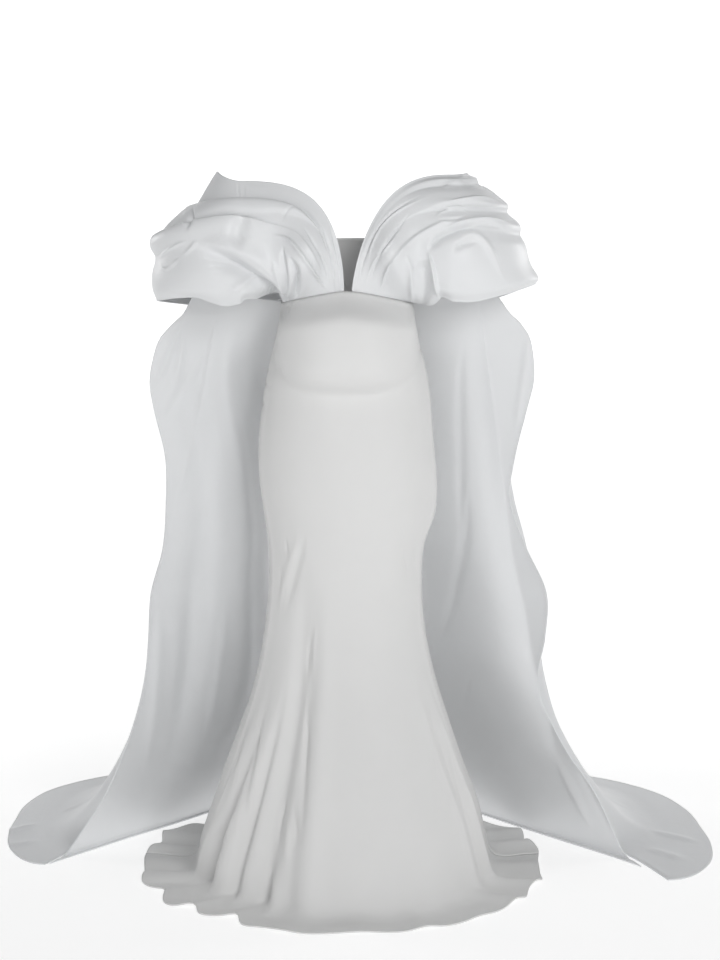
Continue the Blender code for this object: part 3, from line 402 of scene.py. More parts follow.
RIPPLES_TRAIN_LEFT = [
    (-0.800, 0.318, -0.776, 0.342, -0.748, 0.368, -0.712, 0.396, 0.0100, 0.0140, 0.0050),
    (-0.782, 0.216, -0.756, 0.226, -0.728, 0.238, -0.690, 0.254, 0.0090, 0.0130, 0.0040),
    (-0.690, 0.470, -0.650, 0.520, -0.590, 0.562, -0.520, 0.598, 0.0130, 0.0100, 0.0045),
    (-0.640, 0.300, -0.618, 0.352, -0.580, 0.400, -0.530, 0.440, 0.0120, 0.0160, 0.0040),
]
RIPPLES_TRAIN_RIGHT = [
    (0.696, 0.334, 0.730, 0.302, 0.765, 0.270, 0.806, 0.240, 0.0110, 0.0140, 0.0050),
    (0.664, 0.204, 0.694, 0.168, 0.722, 0.134, 0.756, 0.092, 0.0100, 0.0130, 0.0045),
    (0.672, 0.492, 0.628, 0.540, 0.570, 0.576, 0.500, 0.606, 0.0100, 0.0140, 0.0045),
    (0.600, 0.318, 0.584, 0.370, 0.552, 0.420, 0.506, 0.462, 0.0150, 0.0120, 0.0040),
]
TRAIN_TOP = 0.030
HANG_DROP = 0.0007
FLAP_LIFT = 0.026
FLAP_SHARE = 0.40
FLAP_ROUND = 1.30
FLAP_MARGIN = 0.02
FLAP_FADE = 0.06
SEWN_MARGIN = 0.001
VALLEY_FADE = 0.16

BODICE_COLUMNS = "height half front back"
BODICE = [
    (1.228, 0.137, 0.136, 0.094),
    (1.280, 0.142, 0.132, 0.098),
    (1.325, 0.147, 0.126, 0.103),
    (1.372, 0.150, 0.120, 0.106),
]
BODICE_FRONT_ANGLE = -44.0
BODICE_INSET = 0.0016 + SEAM_GAP + 0.0004
BACK_END_X = 0.098

# Steps down each piece and round it, and spans along a piece: from, to and steps.
SKIRT_GRID = (150, 190)
BACK_GRID = (120, 130)
BODICE_GRID = (24, 120)
SLEEVE_ROWS = 180
SLEEVE_SPANS = ((0.0, FRONT_PART, 124), (FRONT_PART, 0.65, 70), (0.65, ARC_PART, 44),
                (ARC_PART, 1.0, 20))
CAPE_ROWS = 180
CAPE_SPANS = ((0.0, FLAP_SHARE, 130), (FLAP_SHARE, 1.0, 100))

CLOTH_COLUMNS = "name colour rough sheen weave crumple"
CREPE = ("matte white crepe", (0.74, 0.74, 0.735), 0.72, 0.06, (900.0, 900.0, 1.0), 0.10)
ORGANZA = ("white organza", (0.77, 0.78, 0.79), 0.38, 0.04, (1500.0, 260.0, 1.0), 0.16)
CLOTH_GLOSS = 0.25
SHEEN_ROUGH = 0.5
TONE_DARK = 0.965
ROUGH_SPREAD = 0.05
THREAD_STRENGTH = 0.35
THREAD_HEIGHT = 0.0004
CRUMPLE_HEIGHT = 0.004
NOISE_INPUTS = ("Scale", "Detail", "Distortion")
NOISES = {
    "tone": (14.0, 3.0, 0.0),
    "thread": (1.0, 2.0, 0.0),
    "crumple": (26.0, 3.0, 0.6),
    "stage": (3.0, 2.0, 0.0),
}
MIX_LOW, MIX_HIGH, MIX_RESULT = 6, 7, 2

STAGE_COLUMNS = "radius height"
STAGE = [
    (3.0, 0.0), (14.4, 0.0), (15.2, 0.06), (15.7, 0.28), (15.92, 0.7), (16.0, 1.3), (16.0, 4.2),
]
STAGE_STEPS = 96
PAINT_COLUMNS = "name emission dark light"
STAGE_PAINT = (("pale floor", 0.62, 0.48, 0.52), ("pale wall", 0.30, 0.58, 0.62))
STAGE_BRIGHT = 0.98
STAGE_RISE = (0.8, 3.2)
STAGE_ROUGH = 0.9

LAMP_COLUMNS = "name place aim size power"
LAMPS = [
    ("key", (1.55, -5.05, 1.4), (0.0, 0.0, -0.4), (1.8, 1.8), 121.0),
    ("fill", (-2.3, -2.8, -0.5), (-0.5, 0.2, -0.9), (1.6, 1.6), 5.0),
    ("top", (0.0, -1.2, 3.2), (0.0, 0.1, -0.4), (3.0, 3.0), 26.0),
    ("rear", (0.0, 2.4, 1.2), (0.0, 0.35, -1.3), (3.5, 0.6), 16.0),
    ("train", (-1.9, 1.2, 0.3), (-0.72, 0.25, -1.3), (0.8, 0.8), 9.0),
    ("train", (1.9, 1.2, 0.3), (0.72, 0.25, -1.3), (0.8, 0.8), 9.0),
]
WORLD_COLOUR = (0.95, 0.97, 1.0, 1.0)
WORLD_STRENGTH = 0.08
CAMERA_PLACE = (0.0275, -4.8, 0.182)
CAMERA_DOWN = 7.33
CAMERA_LENS = 85.6875
CAMERA_SENSOR = 36.0
CAMERA_FAR = 60.0


def table(columns, rows):
    """Turn rows into one array for each named column."""
    return dict(zip(columns.split(), np.array(rows, dtype=float).T))


def smooth(keys, values, at):
    """Read a column between its rows along a smooth curve through all of them."""
    at = np.clip(np.asarray(at, dtype=float), min(keys[0], keys[-1]), max(keys[0], keys[-1]))
    if keys[0] > keys[-1]:
        keys, values = keys[::-1], values[::-1]
    slopes = np.gradient(values, keys)
    row = np.clip(np.searchsorted(keys, at, side="right") - 1, 0, len(keys) - 2)
    span = keys[row + 1] - keys[row]
    t = (at - keys[row]) / span
    start = (1 + 2 * t) * (1 - t) ** 2 * values[row] + t * (1 - t) ** 2 * span * slopes[row]
    finish = t * t * (3 - 2 * t) * values[row + 1] - t * t * (1 - t) * span * slopes[row + 1]
    return start + finish


def ease(t):
    """Rise from 0 to 1 with level ends."""
    t = np.clip(t, 0.0, 1.0)
    return t * t * (3 - 2 * t)


def bump(offset, width):
    """A soft ridge that is 1 in its middle."""
    return np.exp(-(offset / width) ** 2)


def seam_height(x):
    """Height of the empire seam, which is arched up at the centre front."""
    return SEAM_CENTRE - SEAM_DROP * np.minimum(np.abs(x) / SEAM_HALF, 1.0) ** SEAM_ARCH


def seam_front(x):
    """How far the seam stands in front of the body's axis."""
    share = np.minimum(np.abs(x) / SEAM_HALF, 1.0)
    return SEAM_FRONT * (1.0 - share ** RING_POWER) ** (1.0 / RING_POWER)


def ring(angle, left, right, front, back, centre):
    """A point on the rounded ring that a tube has at one height."""
    cosine, sine = np.cos(angle), np.sin(angle)
    share = 2.0 / RING_POWER
    across = np.sign(cosine) * np.abs(cosine) ** share
    along = np.sign(sine) * np.abs(sine) ** share
    x = np.where(across < 0, left, right) * across
    y = centre + np.where(along < 0, front + centre, back - centre) * along
    return x, y


def creases(x, height, lines):
    """Troughs and ridges along curves on a surface seen from the front."""
    lines = table(CREASE_COLUMNS, lines)
    push = np.zeros_like(x)
    t = np.linspace(0.0, 1.0, CREASE_STEPS)
    thirds = np.array([0.0, 1 / 3, 2 / 3, 1.0])
    basis = np.stack([np.prod([(t - thirds[j]) / (thirds[i] - thirds[j])
                               for j in range(4) if j != i], axis=0) for i in range(4)])
    for line in range(len(lines["depth"])):
        curve_x = sum(basis[i] * lines[f"x{i}"][line] for i in range(4))
        curve_h = sum(basis[i] * lines[f"h{i}"][line] for i in range(4))
        near = CREASE_NEAR * max(lines["right"][line], lines["left"][line])
        close = ((x > curve_x.min() - near) & (x < curve_x.max() + near)
                 & (height > curve_h.min() - near) & (height < curve_h.max() + near))
        if not close.any():
            continue
        gap_x = x[close][:, None] - curve_x[None, :]
        gap_h = height[close][:, None] - curve_h[None, :]
        gap = np.hypot(gap_x, gap_h)
        spot = gap.argmin(axis=1)
        row = np.arange(len(spot))
        way_x, way_h = np.gradient(curve_x)[spot], np.gradient(curve_h)[spot]
        side = way_x * gap_h[row, spot] - way_h * gap_x[row, spot]
        width = np.where(side < 0, lines["right"][line], lines["left"][line])
        here = ease(t[spot] / CREASE_FADE) * ease((1 - t[spot]) / CREASE_FADE)
        width = width * (CREASE_TIP + (1 - CREASE_TIP) * here)
        push[close] += lines["depth"][line] * here * bump(gap[row, spot], width)
    return push


def unit(vectors):
    """The same directions with a length of 1."""
    return vectors / np.maximum(np.linalg.norm(vectors, axis=-1, keepdims=True), NO_LENGTH)


def normals(points):
    """Unit normals of a grid of points."""
    return unit(np.cross(np.gradient(points, axis=0), np.gradient(points, axis=1)))


def skirt_points(angles, steps, lines):
    """The skirt's outer face: angles round the body, steps down the table's rows."""
    rows = table(SKIRT_COLUMNS, SKIRT)
    keys = np.arange(len(SKIRT), dtype=float)
    sizes = {name: smooth(keys, rows[name], steps)[:, None] for name in rows}
    angle = angles[None, :]
    x, y = ring(angle, *(sizes[name] for name in SKIRT_COLUMNS.split()[1:]))
    height = sizes["height"] + 0 * x
    top = ease(1.0 - steps[:, None] / SEAM_ROWS)
    lift = np.where(np.sin(angle) < 0, seam_height(x), SEAM_CENTRE - SEAM_DROP)
    height = height + (lift - (SEAM_CENTRE - SEAM_DROP)) * top
    y = y + belly(x, y, height)
    folds = table(FOLD_COLUMNS, SKIRT_FOLDS)
    push = np.zeros_like(x)
    for fold in range(len(SKIRT_FOLDS)):
        drop = np.clip((folds["top"][fold] - height) / folds["top"][fold], 0.0, 1.0)
        turn = folds["top_angle"][fold] + (folds["hem_angle"] - folds["top_angle"])[fold] * drop
        away = np.degrees(angle) - turn
        grow = ease(drop * FOLD_START)
        push += folds["depth"][fold] * grow * bump(away, folds["width"][fold])
    push += creases(x, height, lines)
    ripples = table(POOL_COLUMNS, POOL_RIPPLES)
    flat = ease((POOL_TOP - height) / POOL_TOP)
    for ripple in range(len(POOL_RIPPLES)):
        away = np.degrees(angle) - ripples["angle"][ripple]
        height = height + flat * ripples["lift"][ripple] * bump(away, ripples["width"][ripple])
    return np.stack([x + push * np.cos(angle), y + push * np.sin(angle), height - BUST_HEIGHT],
                    axis=-1)


def belly(x, y, height):
    """How far the belly room pushes the front forward of the plain ring."""
    across, deep, tall = BELLY_RADII
    level = np.abs((height - BELLY_HEIGHT) / tall)
    inside = 1.0 - np.abs(x / across) ** BELLY_POWER - level ** BELLY_TALL_POWER
    reach = BELLY_CENTRE_Y - deep * np.sqrt(np.maximum(inside, 0.0))
    push = BELLY_BLEND * np.log1p(np.exp((y - reach) / BELLY_BLEND))
    return -push * ease(-y / BELLY_SIDE) * ease((seam_height(x) - height) / BELLY_SEAM)


def bodice_back_y(height):
    """How far the back band stands behind the axis where the drapes end on it."""
    rows = table(BODICE_COLUMNS, BODICE)
    half = smooth(rows["height"], rows["half"], height) - BODICE_INSET
    back = smooth(rows["height"], rows["back"], height) - BODICE_INSET
    return back * (1.0 - (BACK_END_X / half) ** RING_POWER) ** (1.0 / RING_POWER)


def sleeve_base(u, levels, rows):
    """A drape with no tucks: from the centre front, over the cup, round the arm to the back."""
    columns = table(SLEEVE_COLUMNS, rows)
    keys = np.arange(len(rows), dtype=float)
    size = {name: smooth(keys, columns[name], levels) for name in columns}
    run = np.clip(u / FRONT_PART, 0.0, 1.0)
    arc = np.clip((u - FRONT_PART) / (ARC_PART - FRONT_PART), 0.0, 1.0)
    rest = np.clip((u - ARC_PART) / (1.0 - ARC_PART), 0.0, 1.0)
    turn = math.pi * (arc - 0.5)

    x = size["seam"] + (ARM_X - size["seam"]) * run ** size["bend"]
    depth = seam_front(size["seam"]) * (1 - ease(run)) + size["front"] * ease(run)
    rise = 1.0 - (1.0 - run) ** RUN_BEND
    low = seam_height(size["seam"]) + SEAM_GAP
    height = low + (size["front_height"] - low) * rise
    y = np.where(arc > 0, np.where(turn < 0, size["front"], size["back"]) * np.sin(turn), -depth)
    x = np.where(arc > 0, ARM_X + (size["reach"] - ARM_X) * np.cos(turn), x)
    forward = size["front_height"] + (size["reach_height"] - size["front_height"]) * ease(2 * arc)
    rear = size["reach_height"] + (size["back_height"] - size["reach_height"]) * ease(2 * arc - 1)
    height = np.where(arc > 0.5, rear, np.where(arc > 0, forward, height))

    x = x + (BACK_END_X - ARM_X) * rest
    end_y = bodice_back_y(size["end_height"]) + SEAM_GAP + DRAPE_BACK_WALL
    y = y + (end_y - size["back"]) * ease(rest)
    height = height + (size["end_height"] - size["back_height"]) * ease(rest)
    cup = CUP_DEPTH * bump(x - CUP_X, CUP_WIDTH) * bump(height - CUP_HEIGHT, CUP_TALL)
    y = y - cup * (u < FRONT_PART) * ease(run * CUP_START)
    return np.stack([x, y, height - BUST_HEIGHT], axis=-1)


def spline(keys, count):
    """Points evenly spaced along a smooth curve through the key points."""
    keys = np.array(keys, dtype=float)
    padded = np.concatenate([2 * keys[:1] - keys[1:2], keys, 2 * keys[-1:] - keys[-2:-1]])
    t = np.linspace(0.0, 1.0, SPLINE_STEPS, endpoint=False)[:, None]
    parts = []
    for i in range(len(keys) - 1):
        a, b, c, d = padded[i:i + 4]
        parts.append(0.5 * (2 * b + (c - a) * t + (2 * a - 5 * b + 4 * c - d) * t ** 2
                            + (3 * b - a - 3 * c + d) * t ** 3))
    curve = np.concatenate(parts + [keys[-1:]])
    step = np.hypot(np.diff(curve[:, 0]) * LEVEL_SIZE, np.diff(curve[:, 1]))
    length = np.concatenate([[0.0], np.cumsum(step)])
    even = np.linspace(0.0, length[-1], count)
    return [np.interp(even, length, column) for column in curve.T]


def sleeve_points(around, rows, tucks, lines, waves, side):
    """A drape with its overlapping tucks, fine pleats and creases."""
    tuck = dict(zip(TUCK_COLUMNS.split(), spline(tucks, SLEEVE_ROWS)))
    level, begins, last = tuck["level"], tuck["from"], len(rows) - 1.0
    flat_level = np.maximum.accumulate(level)
    u = around[None, :] + 0 * level[:, None]
    run = np.clip(u / FRONT_PART, 0.0, 1.0)
    rest = np.clip((u - ARC_PART) / (1.0 - ARC_PART), 0.0, 1.0)
    grow = ease((u - begins[:, None]) / (tuck["full"] - begins)[:, None])
    grow = (TUCK_AT_SEAM + (1 - TUCK_AT_SEAM) * grow) * (1.0 - TUCK_END_LOSS * ease(rest))
    levels = flat_level[:, None] + (level - flat_level)[:, None] * grow
    points = sleeve_base(u, levels, rows)
    wide = sleeve_base(np.minimum(u + NORMAL_STEP, 1.0), levels, rows)
    wide = wide - sleeve_base(np.maximum(u - NORMAL_STEP, 0.0), levels, rows)
    tall = sleeve_base(u, np.minimum(levels + NORMAL_STEP, last), rows)
    tall = tall - sleeve_base(u, np.maximum(levels - NORMAL_STEP, 0.0), rows)
    lined = creases(side * points[..., 0], points[..., 2] + BUST_HEIGHT, lines)
    front = ease(1.0 - (u - CREASE_END) / CREASE_END_FADE)
    push = tuck["push"][:, None] * grow + CREASE_GAIN * lined * front
    edge = ease(run * QUIET_RUN) * ease(levels / QUIET_LEVELS)
    points = points + unit(np.cross(tall, wide)) * (push * edge)[..., None]
    wave = table(HEM_COLUMNS, waves)
    near = ease((levels - levels[-1:]) / HEM_LEVELS + 1.0)
    points[..., 2] += smooth(wave["around"], wave["lift"], u) * near
    points[..., 0] *= side
    return points


def train(fold, outer, tip, bow, back):
    """The back layer in plan: from its fold out to its side, then forward to its tip."""
    turn = np.linspace(0.0, math.pi / 2.0, TRAIN_FINE)
    power = 2.0 / SIDE_POWER
    rear_x = fold[..., 0] + (outer - fold)[..., 0] * np.sin(turn) ** power
    rear_y = outer[..., 1] + (fold - outer)[..., 1] * np.maximum(np.cos(turn), 0.0) ** power
    rear_y = rear_y + bow * np.sin(2.0 * turn)
    ahead_x = tip[..., 0] + (outer - tip)[..., 0] * np.cos(turn[1:])
    ahead_y = outer[..., 1] + (tip - outer)[..., 1] * np.sin(turn[1:])
    curve_x = np.concatenate([rear_x, ahead_x], axis=1)
    curve_y = np.concatenate([rear_y, ahead_y], axis=1)
    step = np.hypot(np.diff(curve_x), np.diff(curve_y))
    length = np.concatenate([0 * step[:, :1], np.cumsum(step, axis=1)], axis=1)
    even = back * length[:, -1:]
    return np.stack([[np.interp(*row) for row in zip(even, length, curve)]
                     for curve in (curve_x, curve_y)], axis=-1)


def cape_points(around, steps, side, rows, valleys, dent, lines, ripples, hem):
    """A wing: its front flap, the fold behind the skirt and the back layer with its train."""
    columns = table(CAPE_COLUMNS, rows)
    keys = np.arange(len(rows), dtype=float)
    size = {name: smooth(keys, columns[name], steps)[:, None] for name in columns}
    edge, fold, outer, tip = (np.stack([size[name + "_x"], size[name + "_y"]], axis=-1)
                              for name in ("edge", "fold", "side", "tip"))
    u = around[None, :, None]
    flap = np.clip(u / FLAP_SHARE, 0.0, 1.0)
    back = np.clip((u - FLAP_SHARE) / (1.0 - FLAP_SHARE), 0.0, 1.0)

    chord = edge - fold
    out = unit(np.stack([chord[..., 1], -chord[..., 0]], axis=-1))
    swell = size["flap"][..., None] * np.sin(math.pi * flap ** FLAP_ROUND)
    front = edge + (fold - edge) * flap + out * swell
    rear = train(fold, outer, tip, size["bow"], back[..., 0])
    plan = np.where(u <= FLAP_SHARE, front, rear)

    tangent = unit(np.gradient(plan, axis=1))
    normal = np.stack([tangent[..., 1], -tangent[..., 0]], axis=-1)
    height = size["height"] + 0 * u[..., 0]
    folds = table(VALLEY_COLUMNS, valleys)
    push = np.zeros_like(height)
    for valley in range(len(valleys)):
        this = {column: folds[column][valley] for column in folds}
        here = ease((this["top"] - height) / VALLEY_FADE)
        here = here * ease((height - this["foot"]) / VALLEY_FADE + 1.0)
        push += this["depth"] * here * bump(u[..., 0] - this["along"], this["width"])
    on_flap = ease((FLAP_SHARE - FLAP_MARGIN - u[..., 0]) / FLAP_FADE)
    push += creases(side * plan[..., 0], height, lines) * on_flap
    if dent:
        line = table(DENT_COLUMNS, dent)
        gap = plan[..., 0] - smooth(line["height"], line["x"], height)
        share = np.maximum(-gap, 0.0)
        sink = (1.0 - np.exp(-share / DENT_EDGE)) * np.exp(-(share / DENT_REACH) ** DENT_POWER)
        push -= smooth(line["height"], line["depth"], height) * sink * on_flap
    plan = plan + normal * push[..., None]
    points = np.stack([side * plan[..., 0], plan[..., 1], height - BUST_HEIGHT], axis=-1)
    points[..., 2] += (creases(points[..., 0], points[..., 1], ripples)
                       * ease((TRAIN_TOP - height) / TRAIN_TOP))
    sewn = around >= FLAP_SHARE - SEWN_MARGIN
    line_x, line_y, line_z = side * hem[::-1, 0], hem[::-1, 1], hem[::-1, 2]
    reach = np.linspace(fold[0, 0, 0], tip[0, 0, 0], np.count_nonzero(sewn))
    start = np.stack([side * reach, np.interp(reach, line_x, line_y),
                      np.interp(reach, line_x, line_z) - HANG_DROP], axis=-1)
    near = ease(1.0 - steps)[:, None, None]
    points[:, sewn] += (start - points[0, sewn])[None] * near
    points[:, ~sewn, 2] += (FLAP_LIFT * (1.0 - around[~sewn] / FLAP_SHARE))[None] * near[..., 0]
    return points


def bodice_points(angles, steps):
    """The plain band round the back, with its ends behind the drapes."""
    rows = table(BODICE_COLUMNS, BODICE)
    keys = np.arange(len(BODICE), dtype=float)
    size = {name: smooth(keys, rows[name], steps)[:, None] for name in rows}
    half = size["half"] - BODICE_INSET
    x, y = ring(angles[None, :], half, half, size["front"] - BODICE_INSET,
                size["back"] - BODICE_INSET, 0.0)
    ahead = ease(-y / SEAM_FRONT)
    fade = 1.0 - steps[:, None] / (len(BODICE) - 1)
    raised = (seam_height(x) - seam_height(SEAM_HALF)) * ahead * fade
    return np.stack([x, y, size["height"] + raised - BUST_HEIGHT], axis=-1)


def lengths(points, axis):
    """How far along the cloth each point lies from the grid's first row or column."""
    step = np.linalg.norm(np.diff(points, axis=axis), axis=-1)
    start = np.zeros_like(np.take(step, [0], axis=axis))
    return np.concatenate([start, np.cumsum(step, axis=axis)], axis=axis)


def put(name, data):
    """Add an object with this mesh, lamp or camera to the scene."""
    thing = bpy.data.objects.new(name, data)
    bpy.context.scene.collection.objects.link(thing)
    return thing


def cloth(name, points, wall, shade, outward, hems):
    """A thin closed sheet through a grid of points, thicker along its rolled hems."""
    rows, cols = points.shape[:2]
    normal = normals(points) * outward
    down, across = lengths(points, 0), lengths(points, 1)
    to_edge = {"top": down, "foot": down[-1:] - down, "start": across,
               "end": across[:, -1:] - across}
    roll = np.zeros((rows, cols))
    for hem in hems:
        roll = np.maximum(roll, HEM_ROLL * bump(to_edge[hem], HEM_WIDTH))
    outer = points + normal * roll[..., None] * 0.5
    inner = points - normal * (wall + roll * 0.5)[..., None]
    index = np.arange(rows * cols).reshape(rows, cols)
    quads = np.stack([index[:-1, :-1], index[1:, :-1], index[1:, 1:], index[:-1, 1:]], axis=-1)
    quads = quads.reshape(-1, 4)
    loop = np.concatenate([index[0, :-1], index[:-1, -1], index[-1, :0:-1], index[:0:-1, 0]])
    after = np.roll(loop, -1)
    rim = np.stack([loop, after, after + rows * cols, loop + rows * cols], axis=-1)
    if outward < 0:
        quads, rim = quads[:, ::-1], rim[:, ::-1]
    faces = np.concatenate([quads, quads[:, ::-1] + rows * cols, rim])
    mesh = bpy.data.meshes.new(name)
    vertices = np.concatenate([outer.reshape(-1, 3), inner.reshape(-1, 3)])
    mesh.from_pydata(vertices.tolist(), [], faces.tolist())
    soft = np.ones(len(faces), dtype=bool)
    soft[2 * len(quads):] = False
    mesh.polygons.foreach_set("use_smooth", soft)
    layer = mesh.uv_layers.new(name="cloth")
    flat = np.stack([across, down], axis=-1).reshape(-1, 2)
    corners = np.zeros(len(mesh.loops), dtype=np.int32)
    mesh.loops.foreach_get("vertex_index", corners)
    layer.data.foreach_set("uv", flat[corners % (rows * cols)].astype(np.float32).ravel())
    mesh.materials.append(shade)
    return put(name, mesh)


def noise(tree, name, source=None):
    """One of the noises in the table, over the source's coordinates."""
    texture = tree.nodes.new("ShaderNodeTexNoise")
    for socket, value in zip(NOISE_INPUTS, NOISES[name]):
        texture.inputs[socket].default_value = value
    if source is not None:
        tree.links.new(source, texture.inputs["Vector"])
    return texture.outputs["Fac"]


def blend(tree, share, low, high):
    """A colour that goes from low to high with the share."""
    mix = tree.nodes.new("ShaderNodeMix")
    mix.data_type = "RGBA"
    mix.inputs[MIX_LOW].default_value = (*low, 1.0)
    mix.inputs[MIX_HIGH].default_value = (*high, 1.0)
    tree.links.new(share, mix.inputs[0])
    return mix.outputs[MIX_RESULT]


def remap(tree, value, ends):
    """A value carried over to another range, whose ends go by the node's own names."""
    node = tree.nodes.new("ShaderNodeMapRange")
    for socket, end in ends.items():
        node.inputs[socket].default_value = end
    tree.links.new(value, node.inputs["Value"])
    return node.outputs["Result"]


def relief(tree, height, strength, distance, under=None):
    """Small bumps in the shading, on top of those under them."""
    node = tree.nodes.new("ShaderNodeBump")
    node.inputs["Strength"].default_value = strength
    node.inputs["Distance"].default_value = distance
    tree.links.new(height, node.inputs["Height"])
    if under is not None:
        tree.links.new(under, node.inputs["Normal"])
    return node.outputs["Normal"]


def woven(name, colour, rough, sheen, weave, crumple):
    """A cloth material: a fine weave, soft crumples and a faint change of tone."""
    shade = bpy.data.materials.new(name)
    shade.use_nodes = True
    tree = shade.node_tree
    link = tree.links.new
    shader = tree.nodes["Principled BSDF"]
    shader.inputs["Specular IOR Level"].default_value = CLOTH_GLOSS
    shader.inputs["Sheen Weight"].default_value = sheen
    shader.inputs["Sheen Roughness"].default_value = SHEEN_ROUGH
    place = tree.nodes.new("ShaderNodeTexCoord")

    tone = noise(tree, "tone", place.outputs["Object"])
    dark = [channel * TONE_DARK for channel in colour]
    link(blend(tree, tone, dark, colour), shader.inputs["Base Color"])
    gloss = remap(tree, tone, {"To Min": rough - ROUGH_SPREAD, "To Max": rough + ROUGH_SPREAD})
    link(gloss, shader.inputs["Roughness"])

    stretch = tree.nodes.new("ShaderNodeMapping")
    stretch.inputs["Scale"].default_value = weave
    link(place.outputs["UV"], stretch.inputs["Vector"])
    thread = noise(tree, "thread", stretch.outputs["Vector"])
    fine = relief(tree, thread, THREAD_STRENGTH, THREAD_HEIGHT)
    soft = noise(tree, "crumple", place.outputs["Object"])
    link(relief(tree, soft, crumple, CRUMPLE_HEIGHT, fine), shader.inputs["Normal"])
    return shade


def row_steps(rows, steps):
    """Even steps down a table's rows."""
    return np.linspace(0, len(rows) - 1, steps + 1)


def stations(spans):
    """Places from 0 to 1 along a piece, closer where it needs them."""
    return np.concatenate([np.linspace(a, b, n, endpoint=False) for a, b, n in spans] + [[1.0]])


crepe = woven(**dict(zip(CLOTH_COLUMNS.split(), CREPE)))
organza = woven(**dict(zip(CLOTH_COLUMNS.split(), ORGANZA)))

side_gap = math.asin(SEAM_GAP / SEAM_HALF)
front_angles = np.linspace(-math.pi + side_gap, -side_gap, SKIRT_GRID[1] + 1)
back_angles = np.linspace(side_gap, math.pi - side_gap, BACK_GRID[1] + 1)
front = skirt_points(front_angles, row_steps(SKIRT, SKIRT_GRID[0]), CREASES_SKIRT)
back = skirt_points(back_angles, row_steps(SKIRT, BACK_GRID[0]), CREASES_BACK)
skirt_front = cloth("crepe_skirt_front", front, CREPE_WALL, crepe, 1, ("foot",))
skirt_back = cloth("crepe_skirt_back", back, CREPE_WALL, crepe, 1, ("foot",))
bodice_from = math.radians(BODICE_FRONT_ANGLE)
bodice_angles = np.linspace(bodice_from, math.pi - bodice_from, BODICE_GRID[1] + 1)
band = bodice_points(bodice_angles, row_steps(BODICE, BODICE_GRID[0]))
bodice = cloth("crepe_bodice_back", band, CREPE_WALL, crepe, -1, ("foot",))

around = stations(SLEEVE_SPANS)
cape_around = stations(CAPE_SPANS)
cape_rows = row_steps(CAPE_LEFT, CAPE_ROWS)
behind = around > (FRONT_PART + ARC_PART) / 2
SIDES = (
    (-1, "left", SLEEVE_LEFT, TUCKS_LEFT, CREASES_LEFT, HEM_LEFT,
     (CAPE_LEFT, VALLEYS_LEFT, (), CREASES_WING_LEFT, RIPPLES_TRAIN_LEFT)),
    (1, "right", SLEEVE_RIGHT, TUCKS_RIGHT, CREASES_RIGHT, HEM_RIGHT,
     (CAPE_RIGHT, VALLEYS_RIGHT, DENT_RIGHT, CREASES_WING_RIGHT, RIPPLES_TRAIN_RIGHT)),
)
pieces = [
    (skirt_front, "skirt_front", "crepe", (1.05, 1.45), 0.66),
    (skirt_back, "skirt_back", "crepe", (1.15, 1.55), 0.56),
    (bodice, "bodice_back", "crepe", (0.60, 0.16), 0.90),
]
for side, name, rows, tucks, lines, waves, wing_tables in SIDES:
    drape = sleeve_points(around, rows, tucks, lines, waves, side)
    sheet = cloth("organza_drape_" + name, drape, ORGANZA_WALL, organza, side, ("top", "foot"))
    pieces.append((sheet, "drape_" + name, "organza", (0.85, 0.62), 0.50))
    wing = cape_points(cape_around, cape_rows, side, *wing_tables, drape[-1, behind])
    sheet = cloth("organza_cape_" + name, wing, ORGANZA_WALL, organza, -side,
                  ("foot", "start", "end"))
    pieces.append((sheet, "cape_" + name, "organza", (1.60, 1.40), 0.70))
for sheet, node, slot, flat, share in pieces:
    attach(sheet, "root")
    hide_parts(node)


def area_light(name, place, aim, size, power):
    """A large soft lamp that looks at a point."""
    lamp = bpy.data.lights.new(name, "AREA")
    lamp.shape = "RECTANGLE"
    lamp.size, lamp.size_y = size
    lamp.energy = power
    holder = put(name, lamp)
    holder.location = place
    holder.rotation_euler = (Vector(aim) - Vector(place)).to_track_quat("-Z", "Y").to_euler()


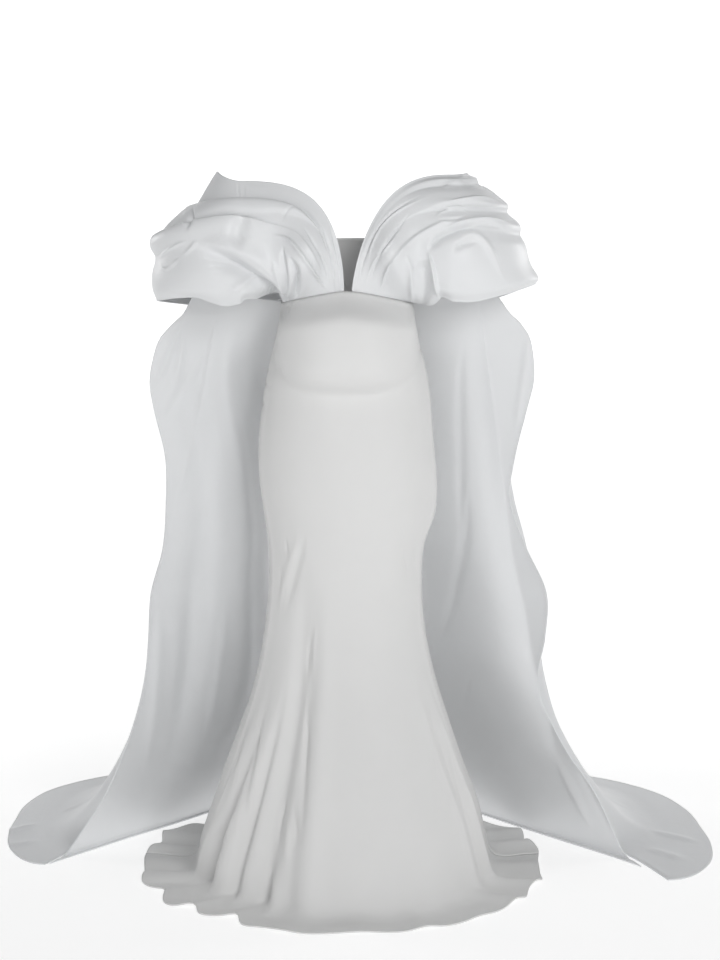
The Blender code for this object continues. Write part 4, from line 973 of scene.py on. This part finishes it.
def stage_paint(name, emission, dark, light):
    """The stage's pale paint, whose glow grows towards the back."""
    pale = bpy.data.materials.new(name)
    pale.use_nodes = True
    tree = pale.node_tree
    shader = tree.nodes["Principled BSDF"]
    shader.inputs["Roughness"].default_value = STAGE_ROUGH
    shader.inputs["Emission Strength"].default_value = 1.0
    place = tree.nodes.new("ShaderNodeTexCoord")
    parts = tree.nodes.new("ShaderNodeSeparateXYZ")
    tree.links.new(place.outputs["Object"], parts.inputs[0])
    rise = remap(tree, parts.outputs["Y"], {"From Min": STAGE_RISE[0], "From Max": STAGE_RISE[1]})
    glow = blend(tree, rise, [emission] * 3, [STAGE_BRIGHT] * 3)
    tree.links.new(glow, shader.inputs["Emission Color"])
    paint = blend(tree, noise(tree, "stage"), [dark] * 3, [light] * 3)
    tree.links.new(paint, shader.inputs["Base Color"])
    return pale


def studio():
    """A round pale floor that curves up into a pale wall, with the photo's camera."""
    stage = table(STAGE_COLUMNS, STAGE)
    turn = np.linspace(0.0, 2.0 * math.pi, STAGE_STEPS, endpoint=False)
    points = [(reach * math.cos(angle), reach * math.sin(angle), height - BUST_HEIGHT)
              for reach, height in zip(stage["radius"], stage["height"]) for angle in turn]
    spots = range(STAGE_STEPS)
    quads = [(low + STAGE_STEPS + spot, low + STAGE_STEPS + after, low + after, low + spot)
             for low in range(0, STAGE_STEPS * (len(STAGE) - 1), STAGE_STEPS)
             for spot, after in zip(spots, (*spots[1:], 0))]
    mesh = bpy.data.meshes.new("floor")
    mesh.from_pydata(points, [], [tuple(spots)] + quads)
    mesh.polygons.foreach_set("use_smooth", np.array([False] + [True] * len(quads)))
    for row in STAGE_PAINT:
        mesh.materials.append(stage_paint(**dict(zip(PAINT_COLUMNS.split(), row))))
    paint = np.ones(len(quads) + 1, dtype=np.int32)
    paint[:STAGE_STEPS + 1] = 0
    mesh.polygons.foreach_set("material_index", paint)
    floor = put("floor", mesh)

    world = bpy.data.worlds.new("studio")
    bpy.context.scene.world = world
    world.use_nodes = True
    world.node_tree.nodes["Background"].inputs["Color"].default_value = WORLD_COLOUR
    world.node_tree.nodes["Background"].inputs["Strength"].default_value = WORLD_STRENGTH
    for row in LAMPS:
        area_light(**dict(zip(LAMP_COLUMNS.split(), row)))

    camera = bpy.data.cameras.new("camera")
    camera.lens = CAMERA_LENS
    camera.sensor_width = CAMERA_SENSOR
    camera.clip_end = CAMERA_FAR
    holder = put("camera", camera)
    holder.location = CAMERA_PLACE
    holder.rotation_euler = (math.radians(90.0 - CAMERA_DOWN), 0.0, 0.0)
    bpy.context.scene.camera = holder
    bpy.context.scene.view_settings.view_transform = "Standard"


studio()
